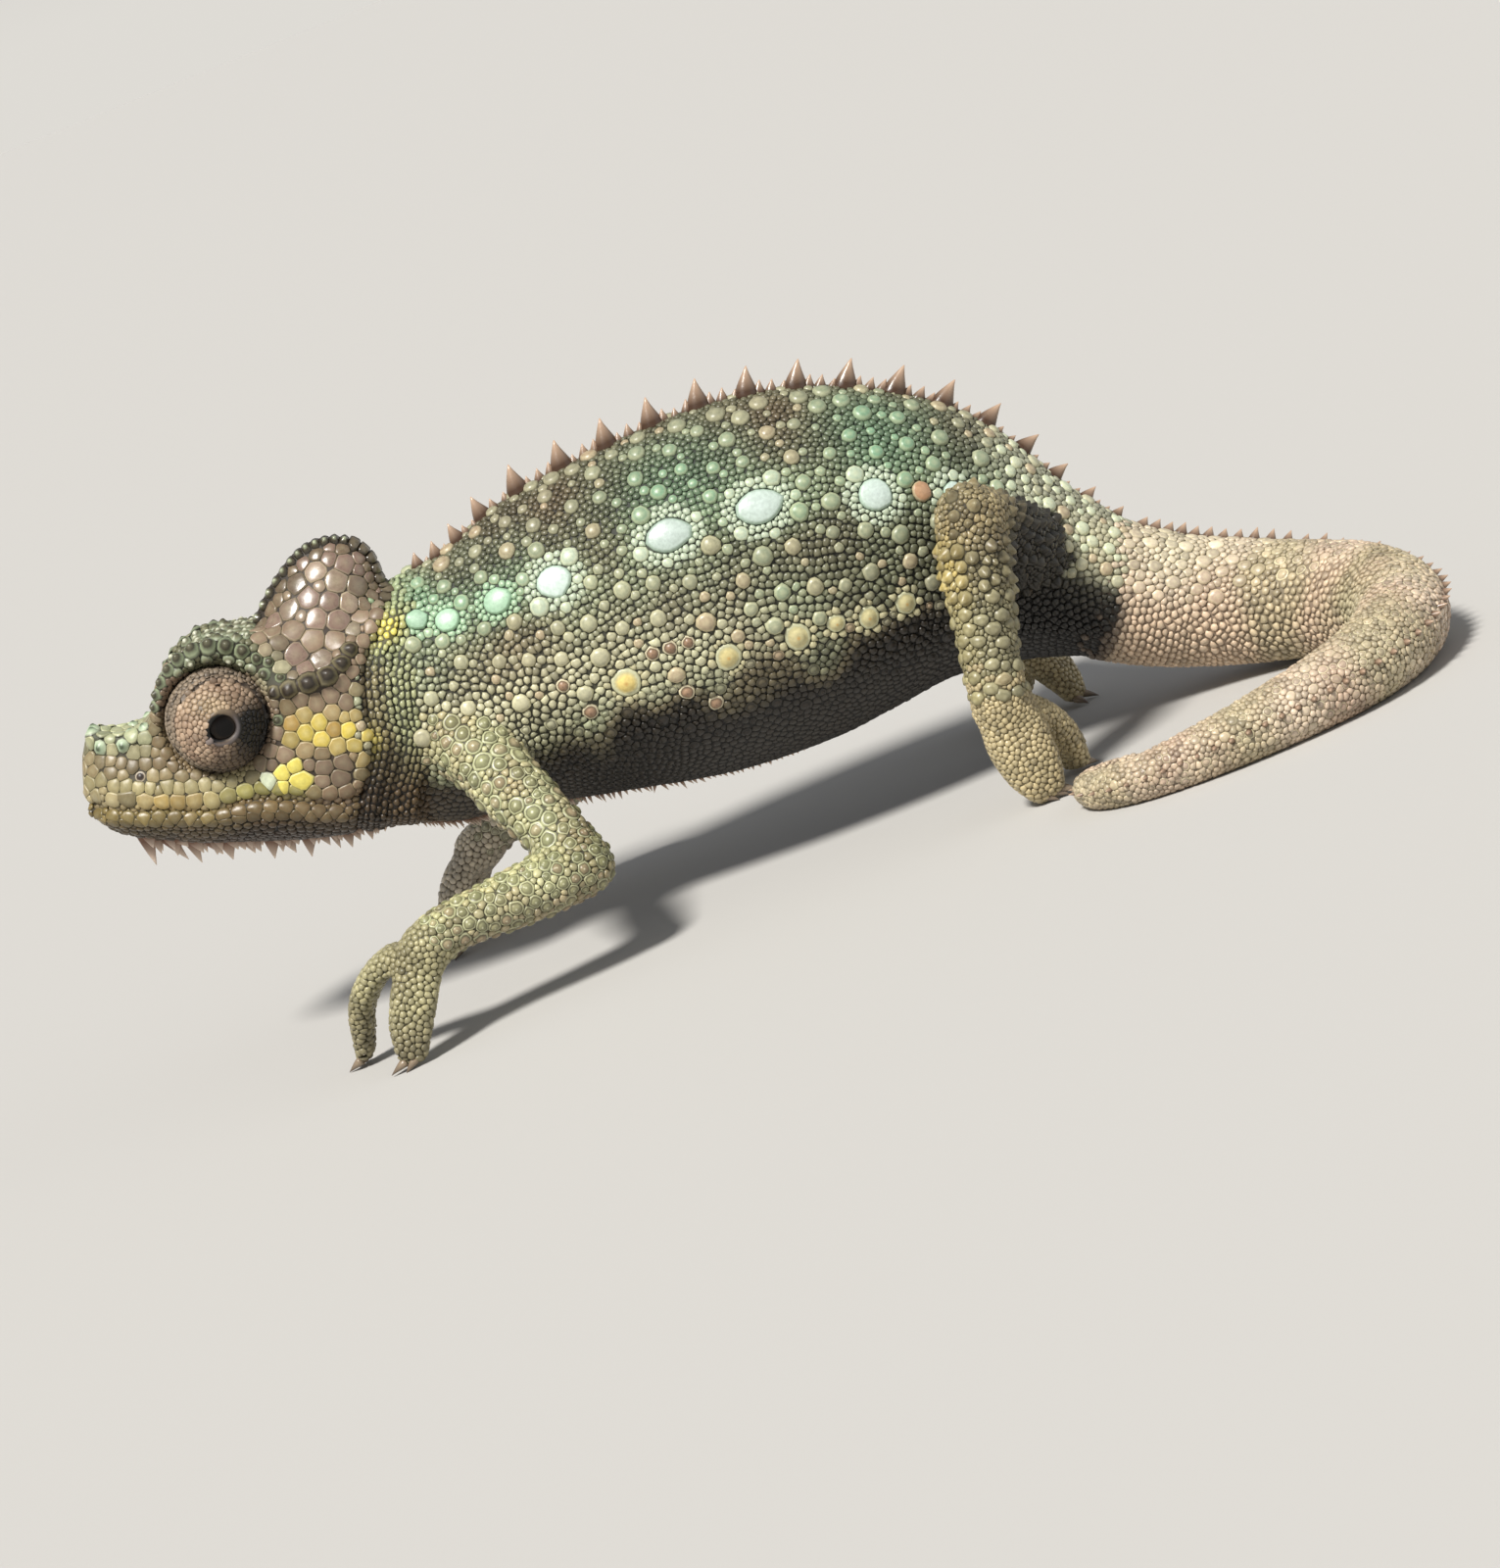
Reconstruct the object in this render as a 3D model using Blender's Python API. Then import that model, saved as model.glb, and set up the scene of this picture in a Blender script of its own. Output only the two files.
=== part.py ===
"""A life-size high-casqued chameleon, standing still on four feet with its tail laid in a hook on the floor.

The shapes are worked out in millimetres and brought to metres as each object is made.
The animal faces -X, its left side faces -Y and up is +Z. The floor is z = 0, and the origin lies on the
floor under the middle of the animal.
"""

import math
import random

import bmesh
import bpy
from mathutils import Matrix, Vector

MM = 0.001
GAP = 0.3  # between two nodes that touch
ORIGIN = Vector((6.0, -3.5, 0.0))  # the middle of the animal in the frame that the sizes below use
SEED = 11

# The head has its own frame: forward to the snout, sideways as the world's Y, and up through the crown.
# Its origin is midway between the eyes.
HEAD_CENTRE = Vector((-25.4, 0.0, 22.7))
HEAD_PITCH = math.radians(20)
HEAD_BACK = -10.4
SNOUT_TIP = 8.25
HEAD_STEP = 1.0

# Each profile of the head is given at a few places along it, from the snout back.
CROWN = {8.25: -2.3, 7.4: -1.6, 5.0: -1.2, 3.7: 0.9, 2.6: 2.7, 1.2: 4.0, -0.5: 4.7, -3.0: 5.0, -8.0: 5.1, -10.4: 6.4}
CHIN = {8.25: -6.6, 7.4: -7.5, 6.0: -8.1, 3.0: -8.6, 0.6: -8.8, -4.0: -8.8, -8.0: -8.5, -10.4: -8.1}
BROW_WIDTH = {8.25: 0.9, 7.4: 1.4, 5.0: 2.0, 3.0: 2.8, 0.0: 3.3, -4.0: 3.5, -10.4: 3.4}
CHEEK_WIDTH = {8.25: 1.3, 7.4: 2.1, 5.0: 2.8, 1.5: 3.2, -1.0: 3.6, -4.0: 4.6, -7.0: 5.1, -10.4: 4.9}
LIP_WIDTH = {8.25: 1.2, 7.4: 2.3, 5.0: 3.3, 0.0: 4.3, -4.0: 4.8, -8.0: 4.9, -10.4: 4.5}
MOUTH_HEIGHT = -6.0
MOUTH = [(10.3, -5.8), (1.0, -5.9), (-0.6, -5.5), (-2.3, -5.1), (-4.5, -5.2), (-6.3, -5.6), (-7.6, -5.6), (-8.9, -4.9)]
JAW_BACK = (-9.6, -11.6)  # from the corner of the mouth down to here the jaw ends
LIP_PLACES = (8.1, 7.3, 5.6, 3.2, 0.8, -1.6, -4.0, -6.4, -8.2)
LIP_RADIUS, LIP_SINK, LIP_RISE = 0.42, 0.14, 0.52  # a lip's roll, how deep it sits, and its way from the mouth
NOSTRIL = (5.0, 2.85, -3.75)  # forward, sideways and up
NOSTRIL_RADIUS = 0.42

CASQUE_CENTRE = (-6.5, 6.4)
CASQUE_LEAN = math.radians(37)  # back from upright
CASQUE_RADII = (4.6, 3.5, 2.3)  # along the lean, across it and sideways
CASQUE_FOOT = 3.6  # height of its lowest point above the eye line

EYE_SIDE = 2.9  # from the middle of the head to the middle of a turret
TURRET_RADIUS = 3.3
TURRET_STRETCH = 1.08  # a turret stands a little further out than a ball
TURRET_BACK = 1.9  # from the middle of a turret in to its flat back
LID_OPENING = 1.05
EYE_RADIUS = 0.75
EYE_TURN = math.radians(9)  # the gaze, back from straight sideways

# The trunk: place along X, height, half height, half width, and the lean of the section in degrees.
TRUNK = [
    (-15.65, 18.9, 7.6, 4.9, 20),
    (-12.6, 18.2, 8.3, 5.0, 13),
    (-9.5, 18.0, 8.6, 5.5, 6),
    (-4.0, 18.0, 10.1, 6.5, 0),
    (3.0, 17.6, 11.2, 7.3, 0),
    (10.0, 17.4, 11.4, 7.4, 3),
    (16.3, 16.5, 10.3, 6.7, 12),
    (21.5, 14.2, 8.3, 5.6, 27),
    (25.6, 10.9, 5.8, 4.5, 35),
    (28.9, 8.5, 4.6, 3.9, 38),
]
NECK_END, TORSO_END, HIPS_END = 2.0, 7.0, 9.0  # counted in stations of the table above
RIDGE_SHARPNESS = 1.28  # 1 gives an oval section, more a keel above and below

TAIL_TAPER = 68.0  # the length at which the tail would come to a point
TAIL_LENGTH = 62.0
TAIL_SINK = 0.12  # cut off below where the tail lies, for its flat
TAIL_RISE = 4.0
TAIL_LANDING = 14.7  # how far along it comes down to the floor
TAIL_BEND = {0: 0.0, 2: 0.0, 8: 0.088, 16: 0.088, 24: 0.1, 32: 0.11, 37: 0.04, 44: 0.05, 50: 0.26, 62: 0.55}  # per mm
TAIL_ROLL = math.radians(80)  # it lies on its side, its upper edge turned to the outside of the bend
TAIL_ROLL_START, TAIL_ROLL_END = 2.0, 24.0
TAIL_CUTS = (12.0, 24.0, 36.0, 48.0)
TAIL_SPINE_END, TAIL_SPINE_SPACING, TAIL_SPINE_HEIGHT, TAIL_SPINE_RADIUS = 46.0, 2.0, 0.75, 0.5

# Each leg: root inside the body, bend, end joint; then the radii there.
LEGS = {
    "left_front": dict(
        names=("upper_arm", "forearm", "forefoot"),
        joints=((-12.6, -3.0, 17.0), (-7.6, -10.6, 6.75), (-16.9, -12.8, 6.85)),
        radii=(2.3, 1.95, 1.65),
        palm=(-18.3, -13.1, 6.3),
        toes={
            "outer": ((-19.8, -13.8, 4.4), (-20.9, -14.1, 2.4), (-21.5, -14.3, 0.8)),
            "inner": ((-20.9, -12.0, 6.2), (-23.3, -10.5, 4.2), (-24.6, -9.4, 0.8)),
        },
    ),
    "right_front": dict(
        names=("upper_arm", "forearm", "forefoot"),
        joints=((-12.6, 3.0, 17.0), (-6.2, 10.4, 8.6), (-13.2, 11.8, 6.6)),
        radii=(2.3, 1.95, 1.6),
        palm=(-14.9, 12.0, 5.6),
        toes={
            "outer": ((-16.2, 13.0, 3.9), (-16.9, 13.8, 2.2), (-17.2, 14.2, 0.85)),
            "inner": ((-16.6, 10.8, 4.8), (-17.9, 9.9, 2.8), (-18.3, 9.5, 0.8)),
        },
    ),
    "left_hind": dict(
        names=("thigh", "shank", "hindfoot"),
        joints=((25.6, -1.5, 12.0), (21.6, -10.8, 18.0), (19.5, -11.8, 8.6)),
        radii=(2.7, 2.2, 1.9),
        palm=(19.3, -11.8, 6.4),
        toes={
            "outer": ((19.4, -12.1, 4.4), (19.7, -12.2, 2.4), (20.0, -12.1, 0.8)),
            "inner": ((20.8, -9.9, 4.9), (22.0, -8.6, 2.8), (22.6, -7.9, 0.8)),
        },
    ),
    "right_hind": dict(
        names=("thigh", "shank", "hindfoot"),
        joints=((25.6, 1.5, 12.0), (21.0, 10.8, 17.4), (22.4, 12.0, 8.2)),
        radii=(2.7, 2.15, 1.8),
        palm=(22.6, 12.1, 6.0),
        toes={
            "outer": ((22.2, 13.0, 4.1), (21.9, 13.8, 2.3), (21.6, 14.4, 0.95)),
            "inner": ((23.9, 11.2, 4.3), (25.0, 10.4, 2.4), (25.5, 9.9, 0.85)),
        },
    ),
}
TOE_RADII = {"front": (1.45, 1.35, 1.0), "hind": (2.0, 1.85, 1.3)}
TOE_THINNESS = 0.72
CLAW_LENGTH, CLAW_RADIUS = 1.15, 0.3
CLAW_COUNT = {"front_outer": 2, "front_inner": 3, "hind_outer": 3, "hind_inner": 2}

SPINE_FIRST = 1.02  # the station of the first
SPINE_SPACING, SPINE_HEIGHT, SPINE_RADIUS = 3.1, 1.75, 0.72
SPINE_SINK = 0.6
GULAR_COUNT, GULAR_LENGTH, GULAR_RADIUS = 12, 1.75, 0.62
GULAR_FIRST, GULAR_LAST = 5.1, -8.7  # places along the head

# The largest scales of a flank: station, share of the way from the back down to the belly, radius.
UPPER_ROW = [
    (0.8, 0.24, 0.5), (1.65, 0.3, 0.6), (2.5, 0.32, 0.6), (3.15, 0.34, 0.8), (4.2, 0.34, 0.95),
    (5.0, 0.35, 1.05), (6.0, 0.37, 0.85), (6.42, 0.36, 0.5), (6.7, 0.35, 0.5),
]
LOWER_ROW = [
    (3.4, 0.57, 0.8), (4.3, 0.58, 0.75), (4.95, 0.59, 0.75), (5.35, 0.59, 0.6), (5.7, 0.6, 0.6),
    (6.15, 0.59, 0.6), (3.7, 0.53, 0.45), (3.85, 0.62, 0.5), (4.05, 0.66, 0.5), (3.0, 0.61, 0.5),
]

COLOURS = {
    "head": (0.34, 0.30, 0.21),
    "trunk": (0.27, 0.29, 0.19),
    "tail": (0.40, 0.35, 0.25),
    "leg": (0.33, 0.34, 0.17),
    "turret": (0.33, 0.24, 0.17),
    "eye": (0.02, 0.015, 0.01),
}


def smooth_value(keys, place):
    """The value at a place between keyed ones, on a curve with no overshoot."""
    places = sorted(keys)
    values = [keys[p] for p in places]
    place = min(max(place, places[0]), places[-1])
    last = len(places) - 1
    i = min(max(k for k in range(len(places)) if places[k] <= place), last - 1)
    steps = [(values[k + 1] - values[k]) / (places[k + 1] - places[k]) for k in range(last)]

    def slope(k):
        if k in (0, last) or steps[k - 1] * steps[k] <= 0:
            return 0.0 if 0 < k < last else steps[min(k, last - 1)]
        return 2 * steps[k - 1] * steps[k] / (steps[k - 1] + steps[k])

    width = places[i + 1] - places[i]
    t = (place - places[i]) / width
    return (
        values[i] * (1 + 2 * t) * (1 - t) ** 2
        + values[i + 1] * t * t * (3 - 2 * t)
        + slope(i) * width * t * (1 - t) ** 2
        - slope(i + 1) * width * t * t * (1 - t)
    )


def curve_point(points, t):
    """A point on the smooth curve through the points, t from 0 to their number less one."""
    i = min(int(t), len(points) - 2)
    f = t - i
    p1, p2 = points[i], points[i + 1]
    p0 = points[i - 1] if i else p1 * 2 - p2
    p3 = points[i + 2] if i + 2 < len(points) else p2 * 2 - p1
    return 0.5 * (2 * p1 + (p2 - p0) * f + (2 * p0 - 5 * p1 + 4 * p2 - p3) * f**2 + (3 * p1 - p0 - 3 * p2 + p3) * f**3)


def head_point(forward, side, up):
    """A point of the head's own frame, in the world's."""
    c, s = math.cos(HEAD_PITCH), math.sin(HEAD_PITCH)
    return HEAD_CENTRE + Vector((-c * forward + s * up, side, s * forward + c * up))


def head_section(forward, sides=7):
    """The outline of the head in one plane across it, from the crown round the chin and back."""
    crown, chin = smooth_value(CROWN, forward), smooth_value(CHIN, forward)
    brow, cheek = smooth_value(BROW_WIDTH, forward), smooth_value(CHEEK_WIDTH, forward)
    lip = smooth_value(LIP_WIDTH, forward)
    middle = (crown + MOUTH_HEIGHT) / 2
    half = [
        Vector((0.0, crown)),
        Vector((0.6 * brow, crown + 0.1)),
        Vector((brow, crown - 0.5)),
        Vector((cheek, middle)),
        Vector((lip, MOUTH_HEIGHT + 0.7)),
        Vector((0.96 * lip, MOUTH_HEIGHT - 0.7)),
        Vector((0.5 * lip, chin + 0.22 * (MOUTH_HEIGHT - chin))),
        Vector((0.0, chin)),
    ]
    last = len(half) - 1
    right = [curve_point(half, last * k / (2 * sides)) for k in range(2 * sides + 1)]
    left = [Vector((-p.x, p.y)) for p in reversed(right[1:-1])]
    return [head_point(forward, p.x, p.y) for p in right + left]


def trunk_section(station, grow=0.0, sides=32):
    """The outline of the trunk at a place counted in stations, grown by some millimetres."""
    rows = [Vector(row[:4]) for row in TRUNK]
    leans = [Vector((row[4], 0.0)) for row in TRUNK]
    x, z, height, width = curve_point(rows, station)
    lean = math.radians(curve_point(leans, station).x)
    up = Vector((math.sin(lean), 0.0, math.cos(lean)))
    outline = []
    for k in range(sides):
        angle = 2 * math.pi * k / sides
        c, s = math.cos(angle), math.sin(angle)
        side = math.copysign(abs(s) ** RIDGE_SHARPNESS, s) * (width + grow)
        outline.append(Vector((x, side, z)) + up * c * (height + grow))
    return outline


def trunk_surface(station, angle, grow=0.0):
    """A point of the trunk's skin and the way out there. The angle goes from the back down the left side."""
    rows = [Vector(row[:4]) for row in TRUNK]
    leans = [Vector((row[4], 0.0)) for row in TRUNK]

    def point(u, a):
        x, z, height, width = curve_point(rows, u)
        lean = math.radians(curve_point(leans, u).x)
        up = Vector((math.sin(lean), 0.0, math.cos(lean)))
        s = math.sin(a)
        side = -math.copysign(abs(s) ** RIDGE_SHARPNESS, s) * (width + grow)
        return Vector((x, side, z)) + up * math.cos(a) * (height + grow)

    step = 0.02
    here = point(station, angle)
    along = point(station + step, angle) - point(station - step, angle)
    round_it = point(station, angle + step) - point(station, angle - step)
    return here, along.cross(round_it).normalized() * (1 if -math.pi < angle < math.pi else -1)


def tail_path():
    """Points along the tail's middle line, 1 mm apart, with the radius at each."""
    x, z, height, _, _ = TRUNK[-1]
    place, heading = Vector((x, 0.0, z)), 0.0
    points = []
    for step in range(int(TAIL_LENGTH) + 1):
        radius = height * (1 - step / TAIL_TAPER)
        left = max(0.0, 1 - step / TAIL_LANDING)
        place.z = radius - TAIL_SINK + TAIL_RISE * left**2
        points.append((place.copy(), radius))
        fall = 2 * TAIL_RISE / TAIL_LANDING * left
        heading -= smooth_value(TAIL_BEND, step + 0.5)
        place += Vector((math.cos(heading), math.sin(heading), 0.0)) * math.sqrt(1 - fall * fall)
    return points


def tail_frame(path, at):
    """Where the tail's middle line is, its radius, and the ways ahead, up its back and to its left."""
    places = [p for p, _ in path]
    radii = [Vector((r, 0.0)) for _, r in path]
    at = min(at, len(path) - 1.001)
    centre, radius = curve_point(places, at), curve_point(radii, at).x
    ahead = curve_point(places, min(at + 0.3, len(path) - 1)) - curve_point(places, max(at - 0.3, 0))
    if at < 0.3:
        lean = math.radians(TRUNK[-1][4])
        ahead = Vector((math.cos(lean), 0.0, -math.sin(lean)))
    ahead.normalize()
    side = ahead.cross(Vector((0, 0, 1))).normalized()
    up = side.cross(ahead)
    share = min(1.0, max(0.0, (at - TAIL_ROLL_START) / (TAIL_ROLL_END - TAIL_ROLL_START)))
    roll = TAIL_ROLL * share * share * (3 - 2 * share)
    back = up * math.cos(roll) - side * math.sin(roll)
    left = -side * math.cos(roll) - up * math.sin(roll)
    return centre, radius, ahead, back, left


def tail_ring(path, at, sides=18):
    """The outline of the tail at a distance from its root."""
    centre, radius, _, back, left = tail_frame(path, at)
    width = radius * (0.85 + 0.15 * min(1.0, at / 10))
    turns = [2 * math.pi * k / sides for k in range(sides)]
    return [centre + back * math.cos(a) * radius + left * math.sin(a) * width for a in turns]


def loft(rings):
    """A closed bmesh through the rings, with flat ends."""
    bm = bmesh.new()
    made = [[bm.verts.new(p) for p in ring] for ring in rings]
    count = len(rings[0])
    for first, second in zip(made, made[1:]):
        for k in range(count):
            bm.faces.new((first[k], first[(k + 1) % count], second[(k + 1) % count], second[k]))
    bm.faces.new(made[0])
    bm.faces.new(made[-1])
    bmesh.ops.recalc_face_normals(bm, faces=bm.faces)
    return bm


def tube(places, radii, sides=12, flat=1.0, up=Vector((0, 0, 1))):
    """A closed round-ended tube along the places. flat under 1 thins it along up."""
    places = [Vector(p) for p in places]
    rings = []
    count = len(places)

    def ring(centre, ahead, radius):
        side = ahead.cross(up)
        if side.length < 1e-3:
            side = ahead.cross(Vector((1, 0, 0)))
        side.normalize()
        over = side.cross(ahead).normalized()
        turns = [2 * math.pi * k / sides for k in range(sides)]
        return [centre + side * math.cos(a) * radius + over * math.sin(a) * radius * flat for a in turns]

    for i, (place, radius) in enumerate(zip(places, radii)):
        ahead = (places[min(i + 1, count - 1)] - places[max(i - 1, 0)]).normalized()
        ends = {0: (-1, (0.3, 0.78)), count - 1: (1, (0.78, 0.3))}
        sign, shares = ends.get(i, (0, ()))
        caps = [ring(place + ahead * sign * radius * math.sqrt(1 - c * c), ahead, radius * c) for c in shares]
        middle = [ring(place, ahead, radius)]
        rings += caps + middle if sign < 0 else middle + caps
    return loft(rings)


def cone(root, tip, radius, sides=6, bend=Vector((0, 0, 0))):
    """A pointed spine from its sunk root to its tip, fuller at the middle than a straight cone."""
    root, tip = Vector(root), Vector(tip)
    ahead = (tip - root).normalized()
    side = ahead.orthogonal().normalized()
    over = ahead.cross(side)
    rings = []
    for share, width in ((0.0, 1.0), (0.4, 0.85), (1.0, 0.1)):
        centre = root.lerp(tip, share) + bend * share * share
        turns = [2 * math.pi * k / sides for k in range(sides)]
        rings.append([centre + (side * math.cos(a) + over * math.sin(a)) * radius * width for a in turns])
    return loft(rings)


def dome(place, out, radius, height, sides=6):
    """A low round scute, its root sunk in the skin."""
    side = out.orthogonal().normalized()
    over = out.cross(side)
    rings = []
    profile = ((0.9, -0.9), (1.0, 0.0), (0.5, 1.0)) if sides > 6 else ((1.1, -0.9), (0.55, 1.0))
    for share, lift in profile:
        turns = [2 * math.pi * k / sides for k in range(sides)]
        rings.append(
            [place + out * lift * height + (side * math.cos(a) + over * math.sin(a)) * radius * share for a in turns]
        )
    return loft(rings)


def egg(centre, axes, rings=10, sides=16):
    """A closed stretched ball. axes are its three half lengths as vectors."""
    outlines = []
    for i in range(1, rings):
        lift = math.pi * i / rings
        turns = [2 * math.pi * k / sides for k in range(sides)]
        outlines.append(
            [
                centre
                + axes[0] * math.cos(lift)
                + (axes[1] * math.cos(a) + axes[2] * math.sin(a)) * math.sin(lift)
                for a in turns
            ]
        )
    return loft(outlines)


def cut(bm, place, normal):
    """Takes off what lies on the side that the normal points to, and closes the cut."""
    geometry = bm.verts[:] + bm.edges[:] + bm.faces[:]
    bmesh.ops.bisect_plane(bm, geom=geometry, dist=1e-5, plane_co=place, plane_no=normal, clear_outer=True)
    rim = [e for e in bm.edges if e.is_boundary]
    bmesh.ops.holes_fill(bm, edges=rim, sides=0)
    bmesh.ops.recalc_face_normals(bm, faces=bm.faces)
    return bm


def prism(outline, half_width):
    """A closed slab across the head, from an outline in forward and up."""
    return loft([[head_point(a, side, h) for a, h in outline] for side in (-half_width, half_width)])


def keep_largest(bm):
    """Drops every closed surface but the largest."""
    left = set(bm.faces)
    groups = []
    while left:
        stack = [left.pop()]
        group = []
        while stack:
            face = stack.pop()
            group.append(face)
            for edge in face.edges:
                for other in edge.link_faces:
                    if other in left:
                        left.remove(other)
                        stack.append(other)
        groups.append(group)
    groups.sort(key=lambda g: sum(f.calc_area() for f in g))
    loose = [f for group in groups[:-1] for f in group]
    bmesh.ops.delete(bm, geom=loose, context="FACES")
    return bm


def object_from(name, bm, collection):
    mesh = bpy.data.meshes.new(name)
    bmesh.ops.triangulate(bm, faces=bm.faces[:])
    bm.to_mesh(mesh)
    bm.free()
    made = bpy.data.objects.new(name, mesh)
    collection.objects.link(made)
    return made


def boolean(base, pieces, operation):
    """The base with the pieces joined to it or cut from it, as a bmesh in millimetres."""
    helpers = bpy.data.collections.new("helpers")
    bpy.context.scene.collection.children.link(helpers)
    body = object_from("body", base, bpy.context.scene.collection)
    for n, piece in enumerate(pieces):
        object_from(f"piece_{n}", piece, helpers)
    join = body.modifiers.new("join", "BOOLEAN")
    join.operand_type = "COLLECTION"
    join.collection = helpers
    join.operation = operation
    join.solver = "MANIFOLD"
    bpy.context.view_layer.update()
    result = bpy.data.meshes.new_from_object(body.evaluated_get(bpy.context.evaluated_depsgraph_get()))
    bm = bmesh.new()
    bm.from_mesh(result)
    for helper in list(helpers.objects) + [body]:
        bpy.data.objects.remove(helper)
    bpy.data.collections.remove(helpers)
    bmesh.ops.remove_doubles(bm, verts=bm.verts, dist=1e-4)
    return keep_largest(bm)


def material(name):
    found = bpy.data.materials.get(name)
    if found:
        return found
    made = bpy.data.materials.new(name)
    made.use_nodes = True
    shader = made.node_tree.nodes["Principled BSDF"]
    shader.inputs["Base Color"].default_value = (*COLOURS[name], 1.0)
    shader.inputs["Roughness"].default_value = 0.15 if name == "eye" else 0.6
    return made


def node(name, bm, finish, collection):
    """One named part of the animal, in metres, with its place in the shared frame."""
    bmesh.ops.translate(bm, verts=bm.verts, vec=-ORIGIN)
    bmesh.ops.scale(bm, verts=bm.verts, vec=(MM, MM, MM))
    made = object_from(name, bm, collection)
    made.data.materials.append(material(finish))
    made.data.shade_smooth()
    made.data.set_sharp_from_angle(angle=math.radians(50))
    return made


def head_form():
    """The head from the snout to its back plane, with the sockets of the eyes not yet cut."""
    count = round((SNOUT_TIP - HEAD_BACK) / HEAD_STEP)
    places = [HEAD_BACK + GAP / 2 + (SNOUT_TIP - HEAD_BACK - GAP / 2) * k / count for k in range(count + 1)]
    return loft([head_section(a) for a in places])


def casque_axes():
    lean = (-math.sin(CASQUE_LEAN), math.cos(CASQUE_LEAN))
    zero = head_point(0, 0, 0)
    along = (head_point(lean[0], 0, lean[1]) - zero) * CASQUE_RADII[0]
    across = (head_point(lean[1], 0, -lean[0]) - zero) * CASQUE_RADII[1]
    return along, across, Vector((0, CASQUE_RADII[2], 0))


def casque_form():
    """The tall helmet behind the eyes, a flattened egg that leans back, with knobs along its rim."""
    centre = head_point(CASQUE_CENTRE[0], 0, CASQUE_CENTRE[1])
    along, across, side = casque_axes()
    pieces = []
    knobs = 9
    for k in range(knobs):
        angle = math.radians(-66 + 104 * k / (knobs - 1))
        rim = centre + along * math.cos(angle) - across * math.sin(angle)
        out = (along * math.cos(angle) / along.length**2 - across * math.sin(angle) / across.length**2).normalized()
        pieces.append(dome(rim - out * 0.25, out, 0.72, 0.45, sides=6))
    form = egg(centre, (side, along, across), rings=9, sides=24)
    return form, pieces


def lip_ridge(side, rise):
    """The roll of one lip on one side, which follows the line of the mouth above it or below it."""
    places = []
    for forward in LIP_PLACES:
        height = smooth_value(dict(MOUTH), forward) + rise
        places.append(head_point(forward, side * (smooth_value(LIP_WIDTH, forward) - LIP_SINK), height))
    return tube(places, [LIP_RADIUS] * len(places), sides=6)


def nostril(side):
    """The pit of one nostril, low on the side of the snout."""
    forward, out, up = NOSTRIL
    axes = [Vector(axis) * NOSTRIL_RADIUS for axis in ((1.2, 0, 0), (0, 1, 0), (0, 0, 1))]
    return egg(head_point(forward, side * out, up), axes, rings=6, sides=8)


def turret_place(side):
    return head_point(0, side * EYE_SIDE, 0)


def gaze(side):
    turned = head_point(-math.sin(EYE_TURN), side * math.cos(EYE_TURN), 0) - HEAD_CENTRE
    return turned.normalized()


def turret_form(side, grow=0.0):
    """The domed lids of one eye, drawn out towards the gaze."""
    out = gaze(side)
    up = head_point(0, 0, 1) - HEAD_CENTRE
    ahead = up.cross(out).normalized()
    radius = TURRET_RADIUS + grow
    axes = (out * radius * TURRET_STRETCH, ahead * radius, out.cross(ahead) * radius)
    centre = turret_place(side)
    return cut(egg(centre, axes, rings=10, sides=20), centre - out * (TURRET_BACK + grow), -out)


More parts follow.
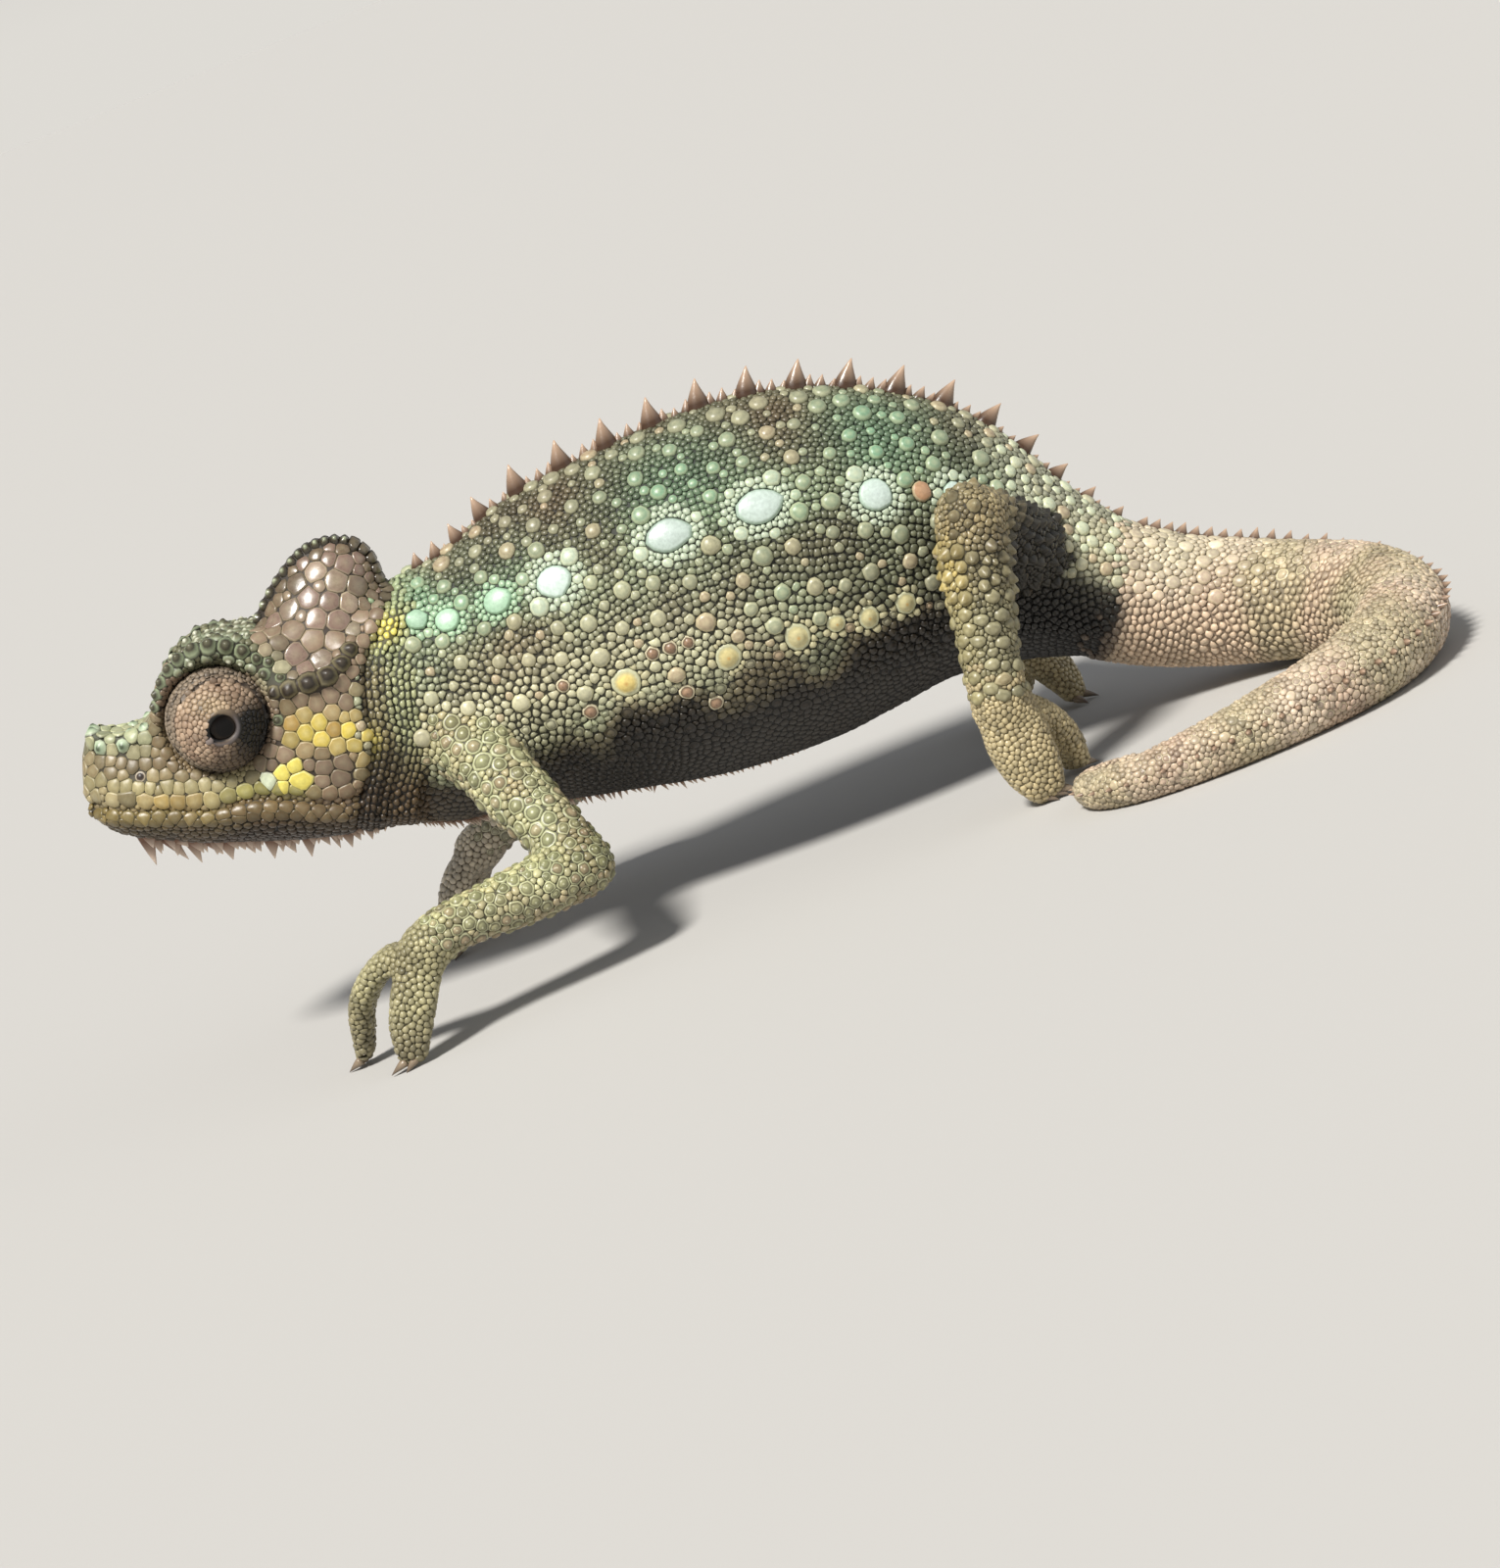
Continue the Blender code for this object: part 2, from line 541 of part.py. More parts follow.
def add_head(collection):
    """The head above the mouth, the jaw below it, the casque and the two eyes with their lids."""
    half_gap = GAP / 2
    below = [(a, h + half_gap) for a, h in MOUTH] + [(JAW_BACK[0] - half_gap, JAW_BACK[1]), (12, JAW_BACK[1])]
    above = [(a, h - half_gap) for a, h in MOUTH[:-1]]
    above += [(MOUTH[-1][0] + half_gap, MOUTH[-1][1] - half_gap), (JAW_BACK[0] + half_gap, JAW_BACK[1])]
    above += [(-13, JAW_BACK[1]), (-13, 14), (12, 14)]
    foot = head_point(0, 0, CASQUE_FOOT)
    up = (head_point(0, 0, 1) - HEAD_CENTRE).normalized()
    sockets = [turret_form(side, grow=GAP) for side in (-1, 1)]

    ridges = []
    for side in (-1, 1):
        brow = [(3.6, 2.7, 0.0), (3.0, 3.1, 2.2), (1.2, 3.2, 3.9), (-1.0, 3.3, 4.1), (-2.8, 3.6, 3.2), (-3.9, 4.0, 1.6)]
        temple = [(-3.6, 4.1, 1.5), (-5.4, 4.5, 1.9), (-7.2, 4.4, 2.5), (-8.4, 3.7, 4.0)]
        snout = [(4.6, 2.0, -1.2), (6.4, 1.5, -1.7), (8.0, 0.8, -1.5)]
        for line, radius in ((brow, 0.75), (temple, 0.7), (snout, 0.65)):
            places = [head_point(a, side * y, h) for a, y, h in line]
            ridges.append(tube(places, [radius] * len(places), sides=6))
    ridges.append(egg(head_point(7.9, 0, -1.6), [Vector(v) for v in ((0.9, 0, 0.35), (0, 1.1, 0), (-0.3, 0, 0.75))], 8, 10))

    head = boolean(head_form(), ridges + [lip_ridge(side, LIP_RISE) for side in (-1, 1)], "UNION")
    casque, knobs = casque_form()
    casque = cut(casque, foot + up * half_gap, -up)
    casque_keep = boolean(casque, knobs, "UNION")
    head = boolean(head, sockets + [nostril(-1), nostril(1), prism(below, 9)], "DIFFERENCE")
    seat = cut(casque_seat(), foot - up * half_gap, -up)
    head = boolean(head, [seat], "DIFFERENCE")
    jaw = boolean(head_form(), [lip_ridge(side, -LIP_RISE) for side in (-1, 1)], "UNION")
    jaw = boolean(jaw, [prism(above, 9)], "DIFFERENCE")
    jaw = boolean(jaw, gular_spines(), "UNION")
    node("head", head, "head", collection)
    node("casque", casque_keep, "head", collection)
    node("jaw", jaw, "head", collection)

    for side, word in ((-1, "left"), (1, "right")):
        out = gaze(side)
        front = turret_place(side) + out * TURRET_RADIUS * TURRET_STRETCH
        up_here = head_point(0, 0, 1) - HEAD_CENTRE
        ahead = up_here.cross(out).normalized()
        hollow = egg(front, (out * 1.0, ahead * LID_OPENING, up_here * LID_OPENING), rings=6, sides=12)
        lids = boolean(turret_form(side), [hollow], "DIFFERENCE")
        node(f"eyelids_{word}", lids, "turret", collection)
        ball = egg(front - out * 0.05, (out * 0.62, ahead * EYE_RADIUS, up_here * EYE_RADIUS), rings=6, sides=12)
        node(f"eye_{word}", ball, "eye", collection)


def casque_seat():
    """The room that the casque takes, a gap larger all round."""
    along, across, side = casque_axes()
    grown = [axis.normalized() * (axis.length + GAP) for axis in (side, along, across)]
    return egg(head_point(CASQUE_CENTRE[0], 0, CASQUE_CENTRE[1]), grown, rings=9, sides=24)


def gular_spines():
    """The row of flat cones under the chin, longest in front."""
    spines = []
    for k in range(GULAR_COUNT):
        share = k / (GULAR_COUNT - 1)
        forward = GULAR_FIRST + (GULAR_LAST - GULAR_FIRST) * share
        length = GULAR_LENGTH * (1.0 - 0.55 * share)
        radius = GULAR_RADIUS * (1.0 - 0.25 * share)
        chin = smooth_value(CHIN, forward)
        root = head_point(forward, 0, chin + SPINE_SINK)
        tip = head_point(forward - 0.25, 0, chin - length)
        spines.append(cone(root, tip, radius, sides=4))
    return spines


def spine_heights():
    """The dorsal spines: station along the trunk and height of each, from the nape to the hips."""
    found = []
    station, travelled, due = SPINE_FIRST, 0.0, 0.0
    step = 0.005
    while station < HIPS_END - 0.15:
        if travelled >= due:
            rise = min(1.0, 0.45 + 0.07 * travelled)
            fall = min(1.0, 0.35 + 0.4 * (HIPS_END - station))
            found.append((station, SPINE_HEIGHT * rise * fall))
            due += SPINE_SPACING * min(1.0, 0.42 + 0.09 * travelled) * (0.45 + 0.55 * fall)
        travelled += (trunk_surface(station + step, 0.0)[0] - trunk_surface(station, 0.0)[0]).length
        station += step
    return found


def dorsal_spines(first, last):
    """The spines between two stations, each leaning a little back."""
    spines = []
    for station, height in spine_heights():
        if not first + 0.12 < station < last - 0.12:
            continue
        here, _ = trunk_surface(station, 0.0)
        ahead = (trunk_surface(station + 0.05, 0.0)[0] - here).normalized()
        up = Vector((0, 1, 0)).cross(ahead).normalized() * -1
        if up.z < 0:
            up = -up
        radius = SPINE_RADIUS * (0.45 + 0.55 * height / SPINE_HEIGHT)
        tip = here + up * height + ahead * 0.25 * height
        spines.append(cone(here - up * SPINE_SINK, tip, radius, sides=6))
    return spines


def flank_scutes(first, last):
    """The large round scales of both flanks: an upper and a lower row, and others scattered between."""
    draw = random.Random(SEED)
    loose = [
        (draw.uniform(1.4, 6.6), draw.choice((draw.uniform(0.16, 0.31), draw.uniform(0.42, 0.54))), 0.5)
        for _ in range(20)
    ]
    scutes = []
    for side in (-1, 1):
        taken = []
        for station, share, radius in UPPER_ROW + LOWER_ROW + loose:
            here, out = trunk_surface(station, math.pi * share * -side)
            if out.y * side < 0:
                out = -out
            if any((here - other).length < radius + size + 0.2 for other, size in taken):
                continue
            taken.append((here, radius))
            if first + 0.2 < station < last - 0.2:
                scutes.append(dome(here, out, radius, 0.3, sides=6 if radius < 0.7 else 8))
    return scutes


def add_trunk(collection):
    """The neck, the torso and the hips, one run of sections parted by thin cuts."""
    nodes = (("neck", 0.0, NECK_END), ("torso", NECK_END, TORSO_END), ("hips", TORSO_END, HIPS_END))
    for name, first, last in nodes:
        steps = 3 * round(last - first)
        stations = [first + (last - first) * k / steps for k in range(steps + 1)]
        form = loft([trunk_section(u) for u in stations])
        form = boolean(form, dorsal_spines(first, last) + flank_scutes(first, last), "UNION")
        for station, sign in ((first, -1), (last, 1)):
            x, z, _, _, lean = TRUNK[int(station)]
            along = Vector((math.cos(math.radians(lean)), 0.0, -math.sin(math.radians(lean))))
            form = cut(form, Vector((x, 0, z)) - along * sign * GAP / 2, along * sign)
        if name == "neck":
            form = boolean(form, [casque_seat()], "DIFFERENCE")
        node(name, form, "trunk", collection)


def add_tail(collection):
    """The tail in lengths, laid in a hook on the floor, its end curled in."""
    path = tail_path()
    cuts = (0.0, *TAIL_CUTS, TAIL_LENGTH)
    for n, (first, last) in enumerate(zip(cuts, cuts[1:])):
        start = first + GAP / 2
        end = last - (GAP / 2 if n < len(cuts) - 2 else 0)
        count = max(6, round((last - first) / 1.3))
        sides = 18 if n < 3 else 14
        rings = [tail_ring(path, start + (end - start) * k / count, sides) for k in range(count + 1)]
        form = loft(rings)
        pieces = []
        place = first + 1.2
        while place < min(last - 0.6, TAIL_SPINE_END):
            centre, radius, ahead, back, _ = tail_frame(path, place)
            height = TAIL_SPINE_HEIGHT * (1 - place / TAIL_TAPER)
            tip = centre + back * (radius + height) + ahead * 0.3
            pieces.append(cone(centre + back * (radius - 0.4), tip, TAIL_SPINE_RADIUS, sides=4))
            place += TAIL_SPINE_SPACING
        if pieces:
            form = boolean(form, pieces, "UNION")
        form = cut(form, Vector((0, 0, 0)), Vector((0, 0, -1)))
        node(f"tail_{n + 1}", form, "tail", collection)


def toe_bundle(root, places, radii, thin, claws):
    """Toes grown together into one mitten, thinner along one way, with their claws."""
    line = [Vector(root)] + [Vector(p) for p in places]
    last = 2 * (len(line) - 1)
    curve = [curve_point(line, k / 2) for k in range(last + 1)]
    sizes = [curve_point([Vector((r, 0.0)) for r in (radii[0] * 0.85, *radii)], k / 2).x for k in range(last + 1)]
    pieces = [tube(curve, sizes, sides=8, flat=TOE_THINNESS, up=thin)]
    end, before = curve[-1], curve[-2]
    ahead = (end - before).normalized()
    row = ahead.cross(thin).normalized()
    level = Vector((end.x - root.x, end.y - root.y, 0)).normalized()
    for k in range(claws):
        spread = (2 * k / (claws - 1) - 1) if claws > 1 else 0.0
        way = (level + row * 0.35 * spread).normalized()
        start = end + row * spread * sizes[-1] * 0.6 + level * sizes[-1] * 0.5
        tip = start + way * CLAW_LENGTH
        start.z, tip.z = 0.62, 0.14
        pieces.append(cone(start, tip, CLAW_RADIUS, sides=4))
    return pieces


def add_legs(collection):
    """Four legs, each in three lengths, cut clear of the body and of one another."""
    steps = 28
    last = len(TRUNK) - 1
    for leg, sizes in LEGS.items():
        root, bend, end = (Vector(p) for p in sizes["joints"])
        palm = Vector(sizes["palm"])
        upper_way, lower_way = (bend - root).normalized(), (end - bend).normalized()
        foot_way = (palm - end).normalized()
        bend_normal = (upper_way + lower_way).normalized()
        end_normal = (lower_way + foot_way).normalized()
        r0, r1, r2 = sizes["radii"]
        shares = (0, 0.25, 0.5, 0.75, 1)
        upper = tube([root.lerp(bend, s) for s in shares], [r0 + (r1 - r0) * s for s in shares])
        upper = cut(upper, bend - bend_normal * GAP / 2, bend_normal)
        skin = loft([trunk_section(last * k / steps, GAP) for k in range(steps + 1)])
        upper = boolean(upper, [skin], "DIFFERENCE")
        lower = tube([bend.lerp(end, s) for s in shares], [r1 + (r2 - r1) * s for s in shares])
        lower = cut(lower, bend + bend_normal * GAP / 2, -bend_normal)
        lower = cut(lower, end - end_normal * GAP / 2, end_normal)
        base = tube([end, palm], [r2, r2 * 1.05])
        kind = leg.split("_")[1]
        pieces = []
        for bundle, places in sizes["toes"].items():
            out = Vector(places[-1]) - palm
            thin = Vector((0, 1, 0)) if bundle == "outer" else Vector((out.x, out.y, 0)).normalized()
            count = CLAW_COUNT[f"{kind}_{bundle}"]
            shrink = 1.0 if bundle == "outer" else 0.85
            pieces += toe_bundle(palm, places, [r * shrink for r in TOE_RADII[kind]], thin, count)
        foot = boolean(base, pieces, "UNION")
        foot = cut(foot, end + end_normal * GAP / 2, -end_normal)
        foot = cut(foot, Vector((0, 0, 0)), Vector((0, 0, -1)))
        for form, word in zip((upper, lower, foot), sizes["names"]):
            side = leg.split("_")[0]
            node(f"{word}_{side}", form, "leg", collection)


def main():
    for old in list(bpy.data.objects):
        bpy.data.objects.remove(old)
    collection = bpy.data.collections.new("chameleon")
    bpy.context.scene.collection.children.link(collection)
    add_head(collection)
    add_trunk(collection)
    add_tail(collection)
    add_legs(collection)


main()
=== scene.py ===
# %% [markdown]
# # A high-casqued chameleon, life size
# One skin lies over the whole body, with tens of thousands of scales set on it one by one, crests of
# spines, claws and glossy eyes. Lengths are in millimetres in the frame that the part was designed in. They
# become metres, with the origin on the floor under the animal's middle, only when a mesh is made.

# %% Load the frame
import math

import bpy
import numpy as np
from mathutils import Matrix, Vector
from mathutils.bvhtree import BVHTree
from mathutils.kdtree import KDTree


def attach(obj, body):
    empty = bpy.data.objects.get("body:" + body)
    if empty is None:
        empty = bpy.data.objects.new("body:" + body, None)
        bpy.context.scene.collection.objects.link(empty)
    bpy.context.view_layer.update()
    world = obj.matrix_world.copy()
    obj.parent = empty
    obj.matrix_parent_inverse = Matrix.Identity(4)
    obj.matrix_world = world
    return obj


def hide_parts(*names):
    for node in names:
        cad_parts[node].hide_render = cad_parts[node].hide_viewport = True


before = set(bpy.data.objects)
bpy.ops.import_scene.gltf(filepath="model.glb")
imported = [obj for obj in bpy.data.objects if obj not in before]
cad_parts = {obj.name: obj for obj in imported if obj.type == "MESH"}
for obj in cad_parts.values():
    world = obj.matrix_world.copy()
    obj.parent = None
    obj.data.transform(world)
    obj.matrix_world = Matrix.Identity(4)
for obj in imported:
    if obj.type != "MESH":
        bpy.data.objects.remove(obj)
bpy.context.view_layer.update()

MM = 0.001
ORIGIN = np.array((6.0, -3.5, 0.0))
draw = np.random.RandomState(7)

# %% [markdown]
# The photograph was taken from a little above and to the left, with the picture turned by 22 degrees. The
# lens is long, so that the near and far legs keep their sizes.

# %% Camera
CAMERA_PLACE = np.array((3.42, -254.32, 59.45))
CAMERA_RISE = math.radians(12)
CAMERA_ROLL = math.radians(22)
CAMERA_LENS = 94.35
SENSOR_WIDTH = 36.0



def add_object(name, data):
    """A new object in the scene."""
    made = bpy.data.objects.new(name, data)
    bpy.context.scene.collection.objects.link(made)
    return made


camera_data = bpy.data.cameras.new("camera")
camera = add_object("camera", camera_data)
level = Vector((1, 0, 0))
over = Vector((0, math.sin(CAMERA_RISE), math.cos(CAMERA_RISE)))
ahead = Vector((0, math.cos(CAMERA_RISE), -math.sin(CAMERA_RISE)))
right = level * math.cos(CAMERA_ROLL) - over * math.sin(CAMERA_ROLL)
upward = level * math.sin(CAMERA_ROLL) + over * math.cos(CAMERA_ROLL)
placing = Matrix((right, upward, -ahead)).transposed().to_4x4()
placing.translation = Vector((CAMERA_PLACE - ORIGIN) * MM)
camera.matrix_world = placing
camera_data.sensor_width = SENSOR_WIDTH
camera_data.lens = CAMERA_LENS
camera_data.clip_start = 0.01
bpy.context.scene.camera = camera

# %% [markdown]
# The forms follow the same profiles as the solids. A curve through each list gives every value between.

# %% Sizes of the head
HEAD_CENTRE = np.array((-25.4, 0.0, 22.7))
HEAD_PITCH = math.radians(20)
HEAD_BACK, SNOUT_TIP = -10.4, 8.25
CROWN = {8.25: -2.3, 7.4: -1.6, 5.0: -1.2, 3.7: 0.9, 2.6: 2.7, 1.2: 4.0, -0.5: 4.7, -3.0: 5.0, -8.0: 5.1,
         -10.4: 6.4}
CHIN = {8.25: -6.6, 7.4: -7.5, 6.0: -8.1, 3.0: -8.6, 0.6: -8.8, -4.0: -8.8, -8.0: -8.5, -10.4: -8.1}
BROW_WIDTH = {8.25: 0.9, 7.4: 1.4, 5.0: 2.0, 3.0: 2.8, 0.0: 3.3, -4.0: 3.5, -10.4: 3.4}
CHEEK_WIDTH = {8.25: 1.3, 7.4: 2.1, 5.0: 2.8, 1.5: 3.2, -1.0: 3.6, -4.0: 4.6, -7.0: 5.1, -10.4: 4.9}
LIP_WIDTH = {8.25: 1.2, 7.4: 2.3, 5.0: 3.3, 0.0: 4.3, -4.0: 4.8, -8.0: 4.9, -10.4: 4.5}
MOUTH_HEIGHT = -6.0
MOUTH = {10.3: -5.8, 1.0: -5.9, -0.6: -5.5, -2.3: -5.1, -4.5: -5.2, -6.3: -5.6, -7.6: -5.6, -8.9: -4.9}
BROW_RIDGE = [(3.6, 2.7, 0.0), (3.0, 3.1, 2.2), (1.2, 3.2, 3.9), (-1.0, 3.3, 4.1), (-2.8, 3.6, 3.2),
              (-3.9, 4.0, 1.6)]
TEMPLE_RIDGE = [(-3.6, 4.1, 1.5), (-5.4, 4.5, 1.9), (-7.2, 4.4, 2.5), (-8.4, 3.7, 4.0)]
SNOUT_RIDGE = [(4.6, 2.0, -1.2), (6.4, 1.5, -1.7), (8.0, 0.8, -1.5)]
CASQUE_FRONT = {3.0: -1.9, 4.4: -2.2, 5.4: -2.6, 7.0: -3.4, 8.6: -4.6, 9.4: -5.3, 9.9: -5.9, 10.2: -6.8}
CASQUE_REAR = {3.0: -9.3, 4.4: -9.7, 5.4: -10.0, 7.0: -10.3, 8.6: -10.1, 9.4: -9.7, 9.9: -9.2, 10.2: -8.6}
CASQUE_WIDTH = {3.0: 4.0, 4.4: 3.6, 5.4: 3.2, 7.0: 2.5, 8.6: 1.75, 9.4: 1.3, 9.9: 0.95, 10.2: 0.6}
CASQUE_RIM = [(-2.5, 5.1), (-3.2, 6.6), (-4.0, 7.9), (-4.9, 9.0), (-5.8, 9.75), (-6.9, 10.1),
              (-8.0, 10.15), (-9.05, 9.7), (-9.8, 8.8), (-10.1, 7.6), (-10.1, 6.4), (-9.8, 5.2)]
CHEEK_EDGE = {-9.0: -7.8, -5.1: -8.5, -3.8: -8.9, -1.6: -9.3, -0.5: -8.95, 1.7: -8.8, 3.6: -9.1, 4.4: -9.6,
              5.7: -10.1, 7.0: -10.4}
EYE_SIDE, EYE_RISE = 2.9, -0.3
TURRET_RADIUS, TURRET_STRETCH = 3.3, 1.08
EYE_TURN = math.radians(9)

# %% Sizes of the trunk and the tail
TRUNK = [
    (-15.65, 18.9, 7.6, 4.9, 20),
    (-12.6, 18.2, 8.3, 5.0, 13),
    (-9.5, 18.0, 8.6, 5.5, 6),
    (-4.0, 18.0, 10.1, 6.5, 0),
    (3.0, 17.6, 11.2, 7.3, 0),
    (10.0, 17.4, 11.4, 7.4, 3),
    (16.3, 16.5, 10.3, 6.7, 12),
    (21.5, 14.2, 8.3, 5.6, 27),
    (25.6, 10.9, 5.8, 4.5, 35),
    (28.9, 8.5, 4.6, 3.9, 38),
]
RIDGE_SHARPNESS = 1.28
TAIL_TAPER, TAIL_LENGTH = 68.0, 62.0
TAIL_SINK, TAIL_RISE, TAIL_LANDING = 0.12, 4.0, 14.7
TAIL_BEND = {0: 0.0, 2: 0.0, 8: 0.088, 16: 0.088, 24: 0.1, 32: 0.11, 37: 0.04, 44: 0.05, 50: 0.26, 62: 0.55}
TAIL_STEP = 0.25
TAIL_ROLL = math.radians(80)
TAIL_ROLL_START, TAIL_ROLL_END = 2.0, 24.0

# %% Sizes of the legs
LEGS = {
    "front_left": dict(
        joints=((-12.6, -3.0, 17.0), (-7.6, -10.6, 6.75), (-16.9, -12.8, 6.85)),
        radii=(2.3, 1.95, 1.65),
        palm=(-18.3, -13.1, 6.3),
        outer=((-19.8, -13.8, 4.4), (-20.9, -14.1, 2.4), (-21.5, -14.3, 0.8)),
        inner=((-20.9, -12.0, 6.2), (-23.3, -10.5, 4.2), (-24.6, -9.4, 0.8)),
    ),
    "front_right": dict(
        joints=((-12.6, 3.0, 17.0), (-6.2, 10.4, 8.6), (-13.2, 11.8, 6.6)),
        radii=(2.3, 1.95, 1.6),
        palm=(-14.9, 12.0, 5.6),
        outer=((-16.2, 13.0, 3.9), (-16.9, 13.8, 2.2), (-17.2, 14.2, 0.85)),
        inner=((-16.6, 10.8, 4.8), (-17.9, 9.9, 2.8), (-18.3, 9.5, 0.8)),
    ),
    "hind_left": dict(
        joints=((25.6, -1.5, 12.0), (21.6, -10.8, 18.0), (19.5, -11.8, 8.6)),
        radii=(2.7, 2.2, 1.9),
        palm=(19.3, -11.8, 6.4),
        outer=((19.4, -12.1, 4.4), (19.7, -12.2, 2.4), (20.0, -12.1, 0.8)),
        inner=((20.8, -9.9, 4.9), (22.0, -8.6, 2.8), (22.6, -7.9, 0.8)),
    ),
    "hind_right": dict(
        joints=((25.6, 1.5, 12.0), (21.0, 10.8, 17.4), (22.4, 12.0, 8.2)),
        radii=(2.7, 2.15, 1.8),
        palm=(22.6, 12.1, 6.0),
        outer=((22.2, 13.0, 4.1), (21.9, 13.8, 2.3), (21.6, 14.4, 0.95)),
        inner=((23.9, 11.2, 4.3), (25.0, 10.4, 2.4), (25.5, 9.9, 0.85)),
    ),
}
TOE_RADII = {"front": (1.45, 1.35, 1.0), "hind": (2.0, 1.85, 1.3)}
TOE_THINNESS = 0.72
TOE_COUNT = {"front_outer": 2, "front_inner": 3, "hind_outer": 3, "hind_inner": 2}

# %% [markdown]
# ## Curves
# A smooth curve with no overshoot gives the values between keyed places, for whole arrays at once.


# %% Curves
def keyed(keys, places):
    """Values between keyed ones, without overshoot."""
    at = np.array(sorted(keys), float)
    value = np.array([keys[k] for k in sorted(keys)], float)
    step = np.diff(value) / np.diff(at)
    slope = np.concatenate([step[:1], np.zeros(len(at) - 2), step[-1:]])
    both = step[:-1] * step[1:]
    slope[1:-1] = np.where(both > 0, 2 * both / np.where(both > 0, step[:-1] + step[1:], 1), 0)
    places = np.clip(np.asarray(places, float), at[0], at[-1])
    i = np.clip(np.searchsorted(at, places, side="right") - 1, 0, len(at) - 2)
    width = at[i + 1] - at[i]
    t = (places - at[i]) / width
    hold = value[i] * (1 + 2 * t) * (1 - t) ** 2 + value[i + 1] * t * t * (3 - 2 * t)
    return hold + slope[i] * width * t * (1 - t) ** 2 - slope[i + 1] * width * t * t * (1 - t)


def on_curve(points, t):
    """The curve through the points, t counted in points from 0."""
    points = np.asarray(points, float)
    t = np.clip(np.asarray(t, float), 0, len(points) - 1.000001)
    i = t.astype(int)
    f = (t - i)[..., None]
    padded = np.vstack([2 * points[0] - points[1], points, 2 * points[-1] - points[-2]])
    p0, p1, p2, p3 = (padded[i + k] for k in range(4))
    square, cube = 2 * p0 - 5 * p1 + 4 * p2 - p3, 3 * p1 - p0 - 3 * p2 + p3
    return 0.5 * (2 * p1 + (p2 - p0) * f + square * f**2 + cube * f**3)


def full_turn(count):
    return np.linspace(0, 2 * np.pi, count, endpoint=False)


def spokes_of(first, second, turn):
    """Ways round a middle, from the first way over the second."""
    return first[:, None] * np.cos(turn)[None, :, None] + second[:, None] * np.sin(turn)[None, :, None]


def unit(vectors):
    """The vectors at length 1."""
    vectors = np.asarray(vectors, float)
    return vectors / np.maximum(np.linalg.norm(vectors, axis=-1, keepdims=True), 1e-9)


def ease(low, high, value):
    """0 below low, 1 above high and a smooth step between."""
    t = np.clip((value - low) / (high - low), 0, 1)
    return t * t * (3 - 2 * t)


def near(value, centre, reach):
    """1 at the centre, fading to 0 like a bell over the reach."""
    return np.exp(-(((value - centre) / reach) ** 2))


def mottle(points, size, seed):
    """Soft noise from about -1 to 1, a sum of random waves."""
    waves = np.random.RandomState(seed)
    total = np.zeros(len(points))
    for _ in range(9):
        way = unit(waves.normal(size=3)) * 2 * math.pi / (size * waves.uniform(0.7, 1.5))
        total += np.sin(points @ way + waves.uniform(0, 2 * math.pi))
    return total / 3.0


# %% [markdown]
# ## Places on the animal
# Each part of the body says in its own way where a point lies: forward, sideways and up on the head,
# stations and a share of the way round on the trunk, the distance along the tail.


# %% Places on the head
def head_point(forward, side, up):
    """A point of the head's own frame."""
    c, s = math.cos(HEAD_PITCH), math.sin(HEAD_PITCH)
    forward, side, up = (np.asarray(k, float) for k in np.broadcast_arrays(forward, side, up))
    return HEAD_CENTRE + np.stack([-c * forward + s * up, side, s * forward + c * up], -1)


def head_place(points):
    """Forward, side and up of points."""
    c, s = math.cos(HEAD_PITCH), math.sin(HEAD_PITCH)
    x, y, z = (points - HEAD_CENTRE).T
    return -c * x + s * z, y, s * x + c * z


def head_ring(forward, sides=12):
    """The outline of the head across it."""
    crown, chin = keyed(CROWN, forward), keyed(CHIN, forward)
    brow, cheek, lip = keyed(BROW_WIDTH, forward), keyed(CHEEK_WIDTH, forward), keyed(LIP_WIDTH, forward)
    half = [
        (0.0, crown),
        (0.6 * brow, crown + 0.1),
        (brow, crown - 0.5),
        (cheek, (crown + MOUTH_HEIGHT) / 2),
        (lip, MOUTH_HEIGHT + 0.7),
        (0.96 * lip, MOUTH_HEIGHT - 0.7),
        (0.5 * lip, chin + 0.22 * (MOUTH_HEIGHT - chin)),
        (0.0, chin),
    ]
    right_half = on_curve(half, np.linspace(0, len(half) - 1, 2 * sides + 1))
    left_half = right_half[-2:0:-1] * (-1, 1)
    outline = np.vstack([right_half, left_half])
    return head_point(forward, outline[:, 0], outline[:, 1])


# %% Places on the trunk
STATIONS = np.linspace(0, 9, 901)
TRUNK_LINE = on_curve(TRUNK, STATIONS)
TRUNK_SLOPE = np.gradient(TRUNK_LINE[:, 0], STATIONS)


def trunk_row(station):
    """Place, height, half height, half width and lean at stations."""
    return [np.interp(station, STATIONS, column) for column in TRUNK_LINE.T]


def trunk_point(station, share, side=-1, grow=0.0):
    """A point of the trunk, share going from 0 at the back to 1 at the belly."""
    x, z, height, width, lean = trunk_row(station)
    angle, lean = np.pi * np.asarray(share, float), np.radians(lean)
    out = side * np.abs(np.sin(angle)) ** RIDGE_SHARPNESS * (width + grow)
    up = np.cos(angle) * (height + grow)
    return np.stack(np.broadcast_arrays(x + np.sin(lean) * up, out, z + np.cos(lean) * up), -1)


